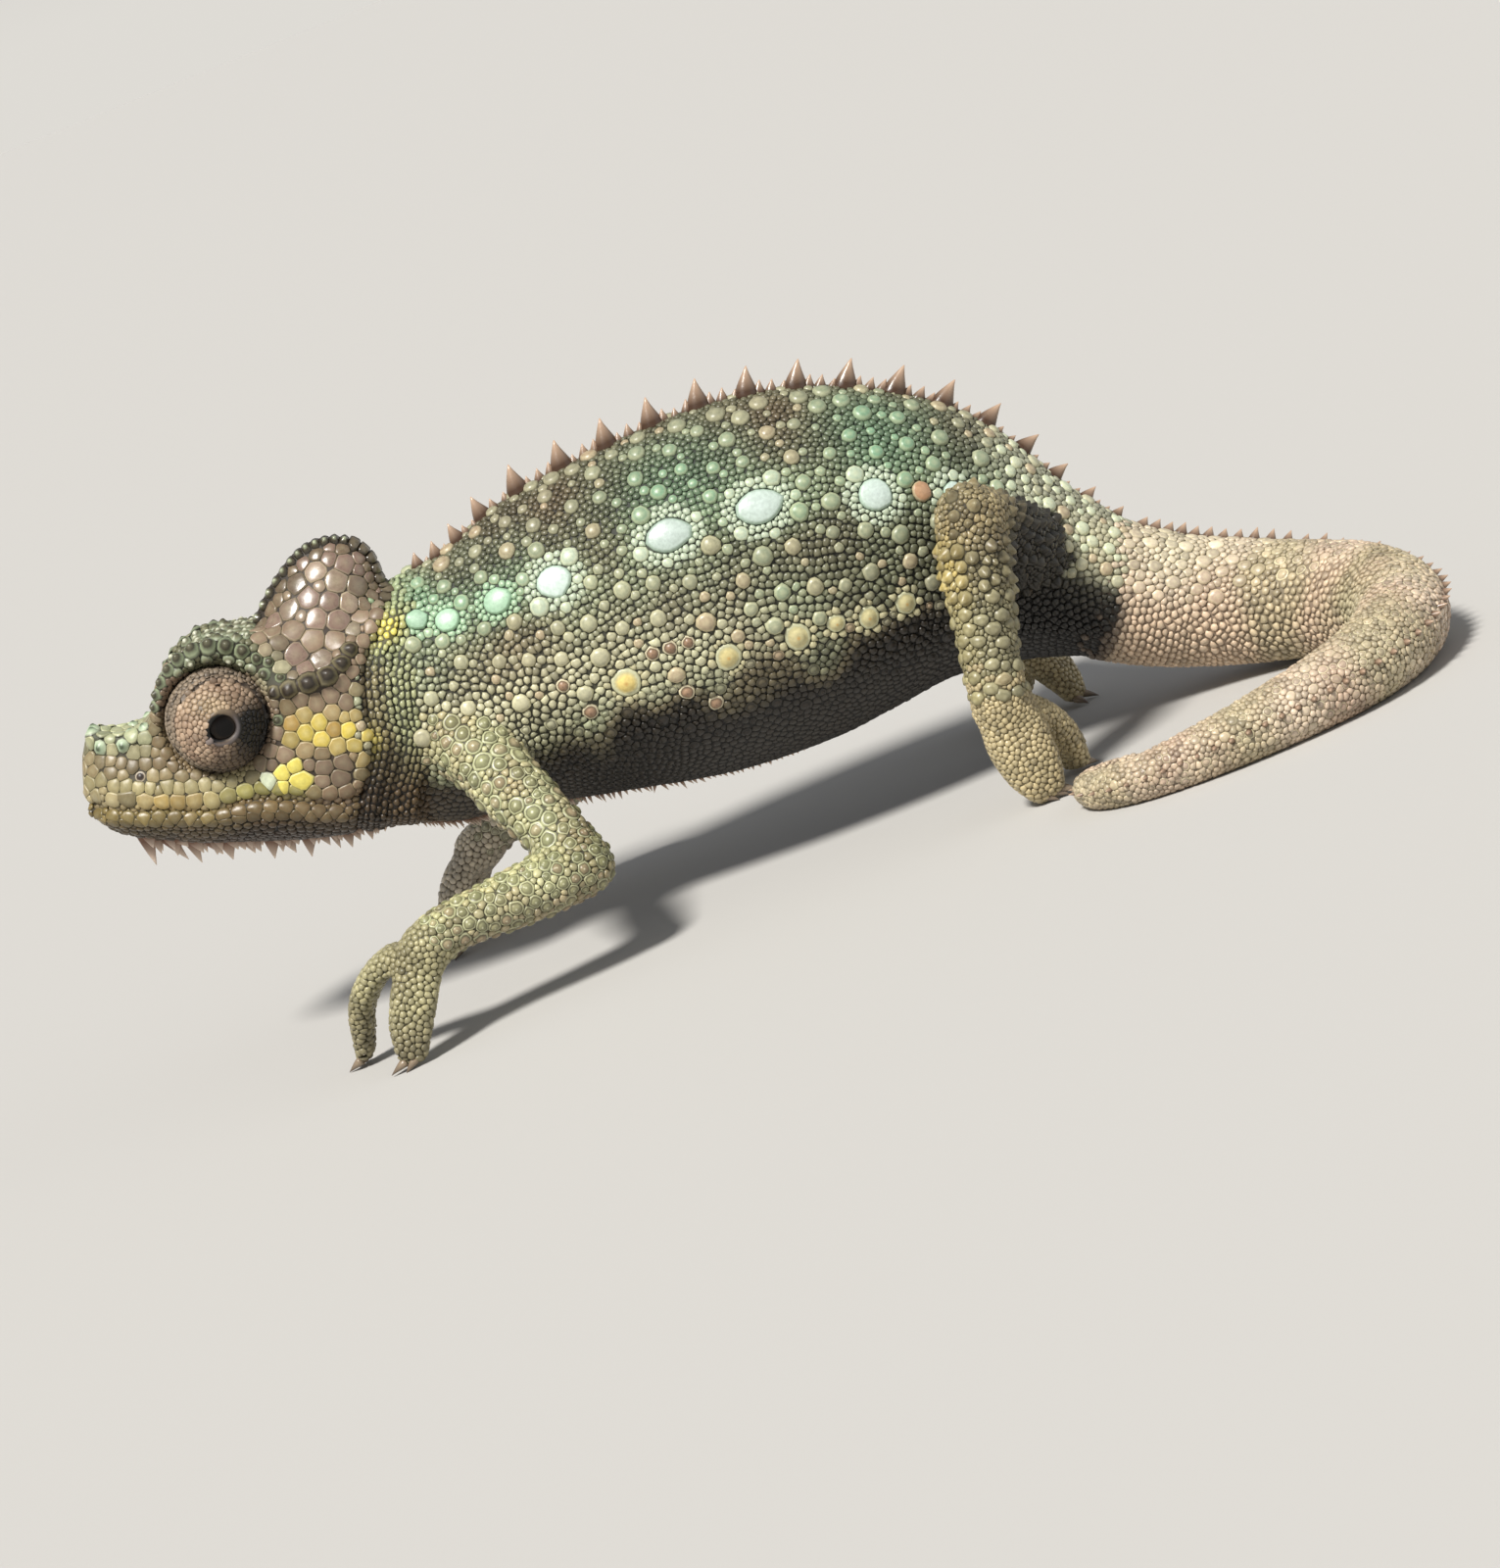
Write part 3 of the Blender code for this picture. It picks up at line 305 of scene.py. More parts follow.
def trunk_place(points):
    """Station, share and half girth of points on the trunk."""
    station = np.interp(points[:, 0], TRUNK_LINE[:, 0], STATIONS)
    for _ in range(6):
        x, z, height, width, lean = trunk_row(station)
        lean = np.radians(lean)
        off = (points[:, 0] - x) * np.cos(lean) - (points[:, 2] - z) * np.sin(lean)
        station = np.clip(station + 0.8 * off / np.interp(station, STATIONS, TRUNK_SLOPE), 0, 9)
    up = ((points[:, 0] - x) * np.sin(lean) + (points[:, 2] - z) * np.cos(lean)) / height
    out = (np.abs(points[:, 1]) / width) ** (1 / RIDGE_SHARPNESS)
    round_it = np.pi * np.sqrt((height**2 + width**2) / 2)
    return station, np.arctan2(out, up) / np.pi, round_it


# %% Places on the tail
def tail_line():
    """Places along the tail, radii, and the ways ahead, to its back and to its left."""
    x, z, height = TRUNK[-1][0], TRUNK[-1][1], TRUNK[-1][2]
    place, heading = np.array((x, 0.0, z)), 0.0
    rows = []
    for step in range(int(TAIL_LENGTH) + 1):
        radius = height * (1 - step / TAIL_TAPER)
        left = max(0.0, 1 - step / TAIL_LANDING)
        place[2] = radius - TAIL_SINK + TAIL_RISE * left**2
        rows.append((*place, radius))
        fall = 2 * TAIL_RISE / TAIL_LANDING * left
        heading -= float(keyed(TAIL_BEND, step + 0.5))
        place += np.array((math.cos(heading), math.sin(heading), 0.0)) * math.sqrt(1 - fall * fall)
    at = np.arange(0, TAIL_LENGTH + 0.001, TAIL_STEP)
    line = on_curve(rows, at)
    way = unit(on_curve(rows, at + 0.3)[:, :3] - on_curve(rows, np.maximum(at - 0.3, 0))[:, :3])
    way[-2:] = way[-3]
    lean = math.radians(TRUNK[-1][4])
    way[:2] = (math.cos(lean), 0, -math.sin(lean))
    side = unit(np.cross(way, (0, 0, 1)))
    up = np.cross(side, way)
    roll = (TAIL_ROLL * ease(TAIL_ROLL_START, TAIL_ROLL_END, at))[:, None]
    back = up * np.cos(roll) - side * np.sin(roll)
    left_way = -side * np.cos(roll) - up * np.sin(roll)
    return at, line[:, :3], line[:, 3], way, back, left_way


TAIL_AT, TAIL_POINTS, TAIL_RADII, TAIL_WAYS, TAIL_BACKS, TAIL_LEFTS = tail_line()


def tail_ring(at, sides=36):
    """The outline of the tail at a distance from its root."""
    i = int(round(max(0.0, min(at, TAIL_LENGTH)) / TAIL_STEP))
    radius, width = TAIL_RADII[i], TAIL_RADII[i] * (0.85 + 0.15 * min(1.0, max(at, 0) / 10))
    turn = full_turn(sides)[:, None]
    centre = TAIL_POINTS[i] + TAIL_WAYS[i] * min(at, 0.0)
    return centre + TAIL_BACKS[i] * np.cos(turn) * radius + TAIL_LEFTS[i] * np.sin(turn) * width


def tail_place(points):
    """Distance along the tail and angle from its back edge."""
    at, angle = np.zeros(len(points)), np.zeros(len(points))
    for start in range(0, len(points), 20000):
        part = slice(start, start + 20000)
        away = points[part, None, :] - TAIL_POINTS[None]
        i = (away**2).sum(-1).argmin(1)
        off = points[part] - TAIL_POINTS[i]
        at[part] = TAIL_AT[i] + (off * TAIL_WAYS[i]).sum(1)
        angle[part] = np.arctan2((off * TAIL_LEFTS[i]).sum(1), (off * TAIL_BACKS[i]).sum(1))
    return at, angle


print("tail ends at", TAIL_POINTS[-1].round(1), "radius", TAIL_RADII[-1].round(2))

# %% [markdown]
# ## The forms under the skin
# A sculptor builds the body from simple masses. Here each mass is a stack of rings with a label, so that a
# point of the finished skin can tell which part of the animal it is on.

# %% Masses
LABELS = ["head", "casque", "trunk", "tail"]
LABELS += [f"{part}_{leg}" for leg in LEGS for part in ("upper", "lower", "foot")]
masses = []


def add_mass(label, rings):
    """Keeps one closed stack of rings under its label."""
    masses.append((LABELS.index(label), np.array(rings, float)))


def rod(label, places, radii, flat=1.0, thin=(0, 0, 1), sides=20, step=0.45):
    """A round-ended rod through the places. flat under 1 thins it along thin."""
    places, radii = np.array(places, float), np.array(radii, float)
    length = np.linalg.norm(np.diff(places, axis=0), axis=1).sum()
    t = np.linspace(0, len(places) - 1, max(4, int(length / step)))
    line = on_curve(np.column_stack([places, radii]), t)
    way = unit(np.gradient(line[:, :3], axis=0))
    caps = np.radians((78, 55, 28))
    start = [(*(line[0, :3] - way[0] * line[0, 3] * math.sin(c)), line[0, 3] * math.cos(c)) for c in caps]
    end = [(*(line[-1, :3] + way[-1] * line[-1, 3] * math.sin(c)), line[-1, 3] * math.cos(c))
           for c in caps[::-1]]
    line = np.vstack([start, line, end])
    way = np.vstack([way[:1]] * 3 + [way] + [way[-1:]] * 3)
    side = unit(np.cross(way, np.array(thin, float) + 1e-4))
    over_it = unit(np.cross(side, way))
    turn = full_turn(sides)
    shape = side[:, None] * np.cos(turn)[None, :, None] + over_it[:, None] * (np.sin(turn)
            * flat)[None, :, None]
    add_mass(label, line[:, None, :3] + shape * line[:, 3][:, None, None])


def ball(label, centre, axes, rings=18, sides=28):
    """A stretched ball with three axes."""
    axes = np.array(axes, float)
    lift = np.linspace(0, np.pi, rings + 2)[1:-1]
    turn = full_turn(sides)
    cross = axes[1] * np.cos(turn)[:, None] + axes[2] * np.sin(turn)[:, None]
    add_mass(label, [np.asarray(centre) + axes[0] * math.cos(a) + cross * math.sin(a) for a in lift])


# %% Masses of the head, trunk and tail
def head_way(forward, side, up):
    return head_point(forward, side, up) - HEAD_CENTRE


add_mass("head", [head_ring(f) for f in np.arange(HEAD_BACK - 1.8, SNOUT_TIP + 0.01, 0.35)])
snout_end = head_ring(SNOUT_TIP)
add_mass("head", [snout_end, snout_end + head_way(0.3, 0, 0),
                  snout_end.mean(0) + (snout_end - snout_end.mean(0)) * 0.8 + head_way(0.5, 0, 0.1)])
for side in (-1, 1):
    for ridge, radius in ((BROW_RIDGE, 0.72), (TEMPLE_RIDGE, 0.68), (SNOUT_RIDGE, 0.6)):
        rod("head", [head_point(f, side * s, u) for f, s, u in ridge], [radius] * len(ridge))
ball("head", head_point(7.75, 0, -1.9), [head_way(0.8, 0, 0.2), (0, 1.0, 0), head_way(-0.2, 0, 0.65)])


def rim_point(share, side=0.0):
    """A point of the casque's rim, from 0 at its front foot over the top to 1 at its rear foot."""
    line = on_curve(CASQUE_RIM, np.asarray(share) * (len(CASQUE_RIM) - 1))
    return head_point(line[..., 0], side, line[..., 1])


RIM_RADIUS, CASQUE_SIDES = 0.42, 48
turn = full_turn(CASQUE_SIDES)
casque_rings = []
for up in np.arange(3.0, 10.21, 0.3):
    front, rear, width = (keyed(k, up) for k in (CASQUE_FRONT, CASQUE_REAR, CASQUE_WIDTH))
    forward = (front + rear) / 2 + (front - rear) / 2 * np.cos(turn)
    casque_rings.append(head_point(forward, width * np.sin(turn) * (1 - 0.2 * np.cos(turn)), up))
add_mass("casque", casque_rings)
rod("casque", rim_point(np.linspace(0, 1, 16)), [RIM_RADIUS] * 16, flat=1.25, thin=(0, 1, 0))

turn = np.linspace(0, 2, 73)[:-1]
half_turn, half_side = np.where(turn > 1, 2 - turn, turn), np.where(turn > 1, -1, 1)
trunk_rings = [trunk_point(u, half_turn, half_side) for u in np.arange(0, 9.01, 0.1)]
forward_way = np.array((-math.cos(math.radians(20)), 0, math.sin(math.radians(20))))
add_mass("trunk", [trunk_rings[0] + forward_way * d for d in (1.6, 0.8)] + trunk_rings)
add_mass("tail", [tail_ring(at) for at in np.arange(-0.8, TAIL_LENGTH + 0.01, 0.4)])

# %% Masses of the legs
CLAW_RISE = 0.55
claw_roots = []


def toe_rods(label, palm, places, radii, count):
    """The toes of one bundle, grown together but for their tips, and where their claws grow."""
    line = np.vstack([palm, places])
    sizes = np.array((radii[0] * 0.85, *radii))
    out = unit((line[-1][0] - palm[0], line[-1][1] - palm[1], 0))
    thin = np.array((0, 1, 0.0)) if "outer" in label else out
    row = unit(np.cross(unit(line[-1] - line[-2]), thin))
    slim = {2: 0.64, 3: 0.54}[count]
    for k in range(count):
        spread = 2 * k / (count - 1) - 1
        centres = [p + row * spread * size * (1 - slim) for p, size in zip(line, sizes)]
        rod(label.split(":")[0], centres, sizes * slim * 1.06, flat=TOE_THINNESS / slim * 0.9, thin=thin,
            sides=14)
        way = unit(out + row * 0.3 * spread)
        start = centres[-1] + way * sizes[-1] * slim * 0.35
        claw_roots.append((np.array((start[0], start[1], CLAW_RISE)), way))


for leg, sizes in LEGS.items():
    root, bend, end = (np.array(p) for p in sizes["joints"])
    palm, kind = np.array(sizes["palm"]), leg.split("_")[0]
    r0, r1, r2 = sizes["radii"]
    shares, swell = np.linspace(0, 1, 5), np.array((1.0, 1.05, 1.04, 0.97, 1.0))
    rod(f"upper_{leg}", root + (bend - root) * shares[:, None], (r0 + (r1 - r0) * shares) * swell)
    rod(f"lower_{leg}", bend + (end - bend) * shares[:, None], (r1 + (r2 - r1) * shares) * swell)
    rod(f"foot_{leg}", [end, (end + palm) / 2, palm], [r2, r2 * 1.02, r2 * 1.04])
    for bundle in ("outer", "inner"):
        radii = [r * (1.0 if bundle == "outer" else 0.85) for r in TOE_RADII[kind]]
        toe_rods(f"foot_{leg}:{bundle}", palm, sizes[bundle], radii, TOE_COUNT[f"{kind}_{bundle}"])
print(len(masses), "masses")

# %% [markdown]
# ## One skin
# A voxel remesh turns the masses into one closed surface. Smoothing softens the places where they meet.


# %% Remesh
VOXEL = 0.28


def ring_walls(rows, sides, start=0):
    """Numbers of a stack of rings' points, of those next round, and the quads between."""
    index = np.arange(rows * sides).reshape(rows, sides) + start
    following = np.roll(index, -1, axis=1)
    return index, following, np.stack([index[:-1], index[1:], following[1:], following[:-1]], -1).reshape(-1,
            4)


def merged_skin():
    """One closed mesh round all the masses."""
    points, faces, count = [], [], 0
    for _, rings in masses:
        index, _, quads = ring_walls(*rings.shape[:2], count)
        points.append(rings.reshape(-1, 3))
        faces += quads[:, (0, 3, 2, 1)].tolist() + [index[0].tolist(), index[-1][::-1].tolist()]
        count += index.size
    mesh = bpy.data.meshes.new("masses")
    mesh.from_pydata(np.vstack(points).tolist(), [], faces)
    holder = add_object("masses", mesh)
    remesh = holder.modifiers.new("remesh", "REMESH")
    remesh.mode = "VOXEL"
    remesh.voxel_size = VOXEL
    result = bpy.data.meshes.new_from_object(holder.evaluated_get(bpy.context.evaluated_depsgraph_get()))
    bpy.data.objects.remove(holder)
    return result


skin_mesh = merged_skin()
print("skin", len(skin_mesh.vertices), "points", len(skin_mesh.polygons), "faces")


# %% Smooth and label
def read_vectors(owner, name, count):
    values = np.zeros(count * 3)
    owner.foreach_get(name, values)
    return values.reshape(-1, 3)


def nearest_labels(points):
    """The label of the mass that each point lies on."""
    tree = KDTree(sum(rings.shape[0] * rings.shape[1] for _, rings in masses))
    owner = []
    for label, rings in masses:
        for place in rings.reshape(-1, 3):
            tree.insert(place, len(owner))
            owner.append(label)
    tree.balance()
    return np.array([owner[tree.find(p)[1]] for p in points])


def smoothed(points, edges, weight, rounds):
    """The points drawn to the middle of their neighbours by their weights."""
    a, b = edges.T
    count = np.bincount(np.concatenate([a, b]), minlength=len(points))[:, None]
    for _ in range(rounds):
        total = np.zeros_like(points)
        for axis in range(3):
            total[:, axis] = np.bincount(a, points[b, axis], len(points))
            total[:, axis] += np.bincount(b, points[a, axis], len(points))
        points = points + (total / count - points) * weight[:, None]
    return points


skin_points = read_vectors(skin_mesh.vertices, "co", len(skin_mesh.vertices))
edge_ends = np.zeros(len(skin_mesh.edges) * 2, int)
skin_mesh.edges.foreach_get("vertices", edge_ends)
edge_ends = edge_ends.reshape(-1, 2)
skin_labels = nearest_labels(skin_points)
border = np.zeros(len(skin_points))
crossing = edge_ends[skin_labels[edge_ends[:, 0]] != skin_labels[edge_ends[:, 1]]]
border[np.unique(crossing)] = 1.0
border = smoothed(border[:, None].repeat(3, 1), edge_ends, np.full(len(border), 0.9), 8)[:, 0]
on_head = np.isin(skin_labels, (0, 1))
weight = np.clip(0.3 + 2.0 * border, 0.3, 0.9)
weight[on_head] = 0.3
skin_points = smoothed(skin_points, edge_ends, weight, 14)

# %% [markdown]
# The mouth is pressed in along its line, the sockets are pushed inwards, and the neck gets its folds. Then
# the whole skin sinks by the depth of the scales that it carries.

# %% Grooves and folds
COAT_DEPTH = 0.13
GROOVE_DEPTH, GROOVE_WIDTH = 0.42, 0.3


def skin_normals(points):
    skin_mesh.vertices.foreach_set("co", points.ravel())
    skin_mesh.update()
    return read_vectors(skin_mesh.vertex_normals, "vector", len(points))


def turret_axes(side):
    """The middle of a turret, its gaze, the way across it and its up."""
    gaze = unit(head_way(-math.sin(EYE_TURN), side * math.cos(EYE_TURN), 0))
    up = head_way(0, 0, 1)
    across = unit(np.cross(up, gaze))
    return head_point(0, side * EYE_SIDE, EYE_RISE), gaze, across, np.cross(gaze, across)


def turret_reach(points, side):
    """How far points are from a turret's middle, as a share of its size."""
    centre, gaze, across, up = turret_axes(side)
    off = points - centre
    along = off @ gaze / (TURRET_RADIUS * TURRET_STRETCH)
    return np.sqrt(along**2 + (off @ across / TURRET_RADIUS) ** 2 + (off @ up / TURRET_RADIUS) ** 2)


def mouth_gap(points):
    """Height over the line of the mouth, and whether it reaches there."""
    forward, side, up = head_place(points)
    return up - keyed(MOUTH, forward), forward > -8.9


normals = skin_normals(skin_points)
sink = np.full(len(skin_points), COAT_DEPTH)
height_over, on_mouth = mouth_gap(skin_points)
sink += np.where(on_head & on_mouth, GROOVE_DEPTH * near(height_over, 0, GROOVE_WIDTH), 0)
forward, _, up = head_place(skin_points)
behind = keyed(CHEEK_EDGE, up) - forward
flesh = np.isin(skin_labels, (0, 2))
creases = 0.12 * near(behind, 1.8, 1.3) * np.sin(behind * 2 * np.pi / 0.62)
sink += np.where(flesh, 0.3 * near(behind, 0.35, 0.3) + creases, 0)
skin_points = skin_points - normals * sink[:, None]
for side in (-1, 1):
    reach = turret_reach(skin_points, side)
    gaze = turret_axes(side)[1]
    inside = np.clip(1.14 - reach, 0, None)
    skin_points -= gaze * (inside * 3.2)[:, None]
skin_points[:, 2] = np.maximum(skin_points[:, 2], 0.05)
normals = skin_normals(skin_points)
skin_mesh.calc_loop_triangles()
triangles = np.zeros(len(skin_mesh.loop_triangles) * 3, int)
skin_mesh.loop_triangles.foreach_get("vertices", triangles)
triangles = triangles.reshape(-1, 3)
skin_tree = BVHTree.FromPolygons(skin_points.tolist(), triangles.tolist())
print("skin reaches", skin_points.min(0).round(1), skin_points.max(0).round(1), len(triangles), "triangles")


# %% [markdown]
# ## Where the scales go
# The named scales are placed first, in their rows, then scattered tubercles and plates, and granules fill
# what is left. All of them push each other apart until they are evenly packed, as living scales are.

# %% Seeds
KINDS = {
    "granule": (7, ((1.0, -0.15, "groove"), (0.94, 0.6, "rim"), (0.8, 0.94, "base"), (0.0, 1.02, "top"))),
    "bead": (10, ((1.0, -0.2, "groove"), (0.95, 0.34, "rim"), (0.8, 0.68, "rim"), (0.58, 0.92, "base"),
                  (0.0, 1.06, "top"))),
    "plate": (14, ((1.0, -0.5, "groove"), (0.965, 0.35, "rim"), (0.91, 0.75, "rim"), (0.8, 0.95, "base"),
                   (0.0, 1.04, "top"))),
    "ringed": (12, ((1.0, -0.15, "groove"), (0.93, 0.24, "rim"), (0.79, 0.36, "rim"), (0.7, 0.3, "ring"),
                    (0.5, 0.8, "base"), (0.2, 1.0, "base"), (0.0, 1.05, "top"))),
    "cone": (10, ((1.0, -0.2, "groove"), (0.84, 0.25, "rim"), (0.5, 0.6, "base"), (0.2, 0.93, "top"),
                  (0.0, 1.0, "top"))),
}
KIND_NAMES = list(KINDS)
TONES = ["plain", "white", "mint_white", "yellow", "brown_centre", "tan", "thorn", "knob", "mint", "rim",
         "dark_rim", "lip", "pit", "cheek_yellow", "cheek_white"]


def tone(name):
    return TONES.index(name)


class Scales:
    """One row for each scale, with what the columns name."""

    columns = ("place", "radius", "kind", "height", "fixed", "tone", "long", "stretch")

    def __init__(self):
        for name in self.columns:
            setattr(self, name, np.zeros((0, 3) if name in ("place", "long") else 0))

    def add(self, place, radius, kind, height, fixed=0, tone=0, long=(1, 0, 0), stretch=1.0):
        place = np.atleast_2d(place)
        kind = KIND_NAMES.index(kind) if isinstance(kind, str) else kind
        for name, value in zip(self.columns, (place, radius, kind, height, fixed, tone, long, stretch)):
            held = getattr(self, name)
            fitted = np.broadcast_to(np.asarray(value, float), (len(place), *held.shape[1:]))
            setattr(self, name, np.concatenate([held, fitted]))


def on_skin(points):
    """The nearest points of the skin, with normals and labels."""
    found = [skin_tree.find_nearest(p) for p in points]
    place = np.array([f[0] for f in found])
    corners = triangles[[f[2] for f in found]]
    return place, unit(normals[corners].sum(1)), skin_labels[corners[:, 0]]


seeds = Scales()

# %% [markdown]
# ### The named scales
# Each flank has an upper row of large white ovals and a lower one of yellow, with ringed neighbours. The head
# has its lip scales, dark cones along the brow and the temple, and plates along the rim of the casque.

# %% Named scales
UPPER_ROW = [(0.82, 0.27, 0.64, 1.1), (1.65, 0.3, 0.76, 1.1), (2.5, 0.32, 0.86, 1.1),
             (3.15, 0.34, 1.0, 1.15), (4.2, 0.34, 1.08, 1.35), (5.0, 0.35, 1.12, 1.35),
             (6.0, 0.37, 1.05, 1.0), (6.42, 0.36, 0.58, 1.2), (6.72, 0.35, 0.66, 1.0)]
LOWER_ROW = [(3.4, 0.57, 0.94, 1.0), (4.3, 0.58, 0.84, 1.05), (4.95, 0.59, 0.84, 1.15),
             (5.35, 0.59, 0.6, 1.0), (5.7, 0.6, 0.68, 1.2), (6.15, 0.59, 0.66, 1.25)]
RINGED_ROW = [(3.7, 0.53, 0.46, 1.0), (3.86, 0.53, 0.46, 1.0), (4.02, 0.53, 0.42, 1.0),
              (3.85, 0.62, 0.5, 1.0), (4.05, 0.66, 0.5, 1.0), (3.0, 0.61, 0.5, 1.0),
              (2.85, 0.54, 0.42, 1.0)]
BROW_THORNS = [(4.3, 2.9, 0.5, 0.36), (4.0, 3.0, 1.3, 0.38), (3.6, 3.1, 2.1, 0.38), (3.1, 3.15, 2.9, 0.4),
               (2.4, 3.2, 3.6, 0.44), (1.5, 3.2, 4.2, 0.5), (0.4, 3.3, 4.4, 0.52), (-0.7, 3.4, 4.3, 0.5),
               (-1.7, 3.5, 3.9, 0.46), (-2.6, 3.6, 3.4, 0.36), (-3.4, 3.8, 3.3, 0.34),
               (-3.0, 3.7, 2.4, 0.38), (-4.0, 4.2, 2.4, 0.3), (-3.6, 4.2, -0.4, 0.34)]
TEMPLE_KNOBS = [(-3.5, 4.0, 1.3, 0.4), (-4.5, 4.2, 1.5, 0.5), (-5.7, 4.4, 1.9, 0.56),
                (-6.9, 4.5, 2.4, 0.56), (-7.8, 4.3, 3.1, 0.5), (-8.4, 4.0, 3.9, 0.46)]
CHEEK_SPOTS = [(-2.8, -4.1, 0.5, "cheek_white"), (-3.7, -3.6, 0.42, "cheek_yellow"),
               (-3.75, -4.5, 0.42, "cheek_yellow"), (-4.85, -4.15, 0.62, "cheek_yellow"),
               (-4.5, -3.2, 0.38, "cheek_yellow")]
SNOUT_KNOBS = [(8.0, 0.6, -1.5, 0.44), (7.3, 1.2, -2.5, 0.46), (5.9, 1.6, -2.3, 0.42),
               (5.6, 1.2, -1.3, 0.34), (4.7, 2.0, -1.1, 0.36)]
NOSTRIL = (5.0, 2.85, -3.75)


def along_body(station):
    lean = math.radians(float(trunk_row(station)[4]))
    return (math.cos(lean), 0, -math.sin(lean))


for side in (-1, 1):
    for row, name, kind in ((UPPER_ROW, "white", "plate"), (LOWER_ROW, "yellow", "ringed"),
                            (RINGED_ROW, "brown_centre", "ringed")):
        for u, t, radius, stretch in row:
            upper = row is UPPER_ROW
            shade = "tan" if upper and 6.3 < u < 6.5 else "mint_white" if upper and u < 3 else name
            upright = row is LOWER_ROW or shade == "tan"
            lie = (0, 0, 1) if upright else along_body(u)
            seeds.add(trunk_point(u, t, side), radius, kind, 0.3, 1, tone(shade), lie, stretch)
    for row, name, high, stretch in ((BROW_THORNS, "thorn", 0.95, 1.0), (TEMPLE_KNOBS, "knob", 0.75, 1.35)):
        for f, s, u, radius in row:
            place = head_point(f, side * (s + 0.5), u + 0.15)
            seeds.add(place, radius, "cone", radius * high, 1, tone(name), head_way(-0.9, 0, 0.4), stretch)
    for f, s, u, radius in SNOUT_KNOBS:
        seeds.add(head_point(f, side * s, u + 0.4), radius, "cone", radius * 0.8, 1, tone("mint"))
    for f, u, radius, name in CHEEK_SPOTS:
        seeds.add(head_point(f, side * 5.5, u), radius, "plate", 0.16, 1, tone(name), head_way(1, 0, 0), 1.15)
    seeds.add(head_point(*np.multiply(NOSTRIL, (1, side, 1))), 0.32, "ringed", 0.12, 1, tone("pit"))

    for step, rise in ((1.05, 0.56), (1.0, -0.48), (0.9, -1.12)):
        forward = np.arange(8.0, -7.8, -step)
        place = head_point(forward, side * (keyed(LIP_WIDTH, forward) + 0.1), keyed(MOUTH, forward) + rise)
        seeds.add(place, step * 0.42, "plate", 0.1, 1, tone("lip"), head_way(1, 0, 0), 1.25)
    seeds.add(rim_point(np.linspace(0.02, 0.56, 12), side=side * 0.4), 0.37, "cone", 0.3, 1, tone("rim"))
    seeds.add(rim_point(np.linspace(0.61, 0.98, 8), side=side * 0.4), 0.42, "plate", 0.26, 1,
              tone("dark_rim"))
place, _, _ = on_skin(seeds.place)
off = np.linalg.norm(place - seeds.place, axis=1)
seeds.place = place
print(len(seeds.place), "named scales, moved onto the skin by up to", off.max().round(2))

# %% [markdown]
# ### Tubercles and plates
# Each region has its own. A dart-throwing loop takes random places in turn and keeps those that are far
# enough from all before them.


# %% Random places on the skin
def random_places(count, density):
    """Random places on the skin, more where the triangles' density is higher."""
    corner = skin_points[triangles]
    area = np.linalg.norm(np.cross(corner[:, 1] - corner[:, 0], corner[:, 2] - corner[:, 0]), axis=1) / 2
    amount = area * density
    face = draw.choice(len(triangles), count, p=amount / amount.sum())
    a, b = draw.rand(count), draw.rand(count)
    flip = a + b > 1
    a[flip], b[flip] = 1 - a[flip], 1 - b[flip]
    c = corner[face]
    places = c[:, 0] + (c[:, 1] - c[:, 0]) * a[:, None] + (c[:, 2] - c[:, 0]) * b[:, None]
    return places, skin_labels[triangles[face, 0]], normals[triangles[face, 0]]


ARMPITS = [(-9.4, -7.2, 13.4), (-9.4, 7.2, 13.4)]


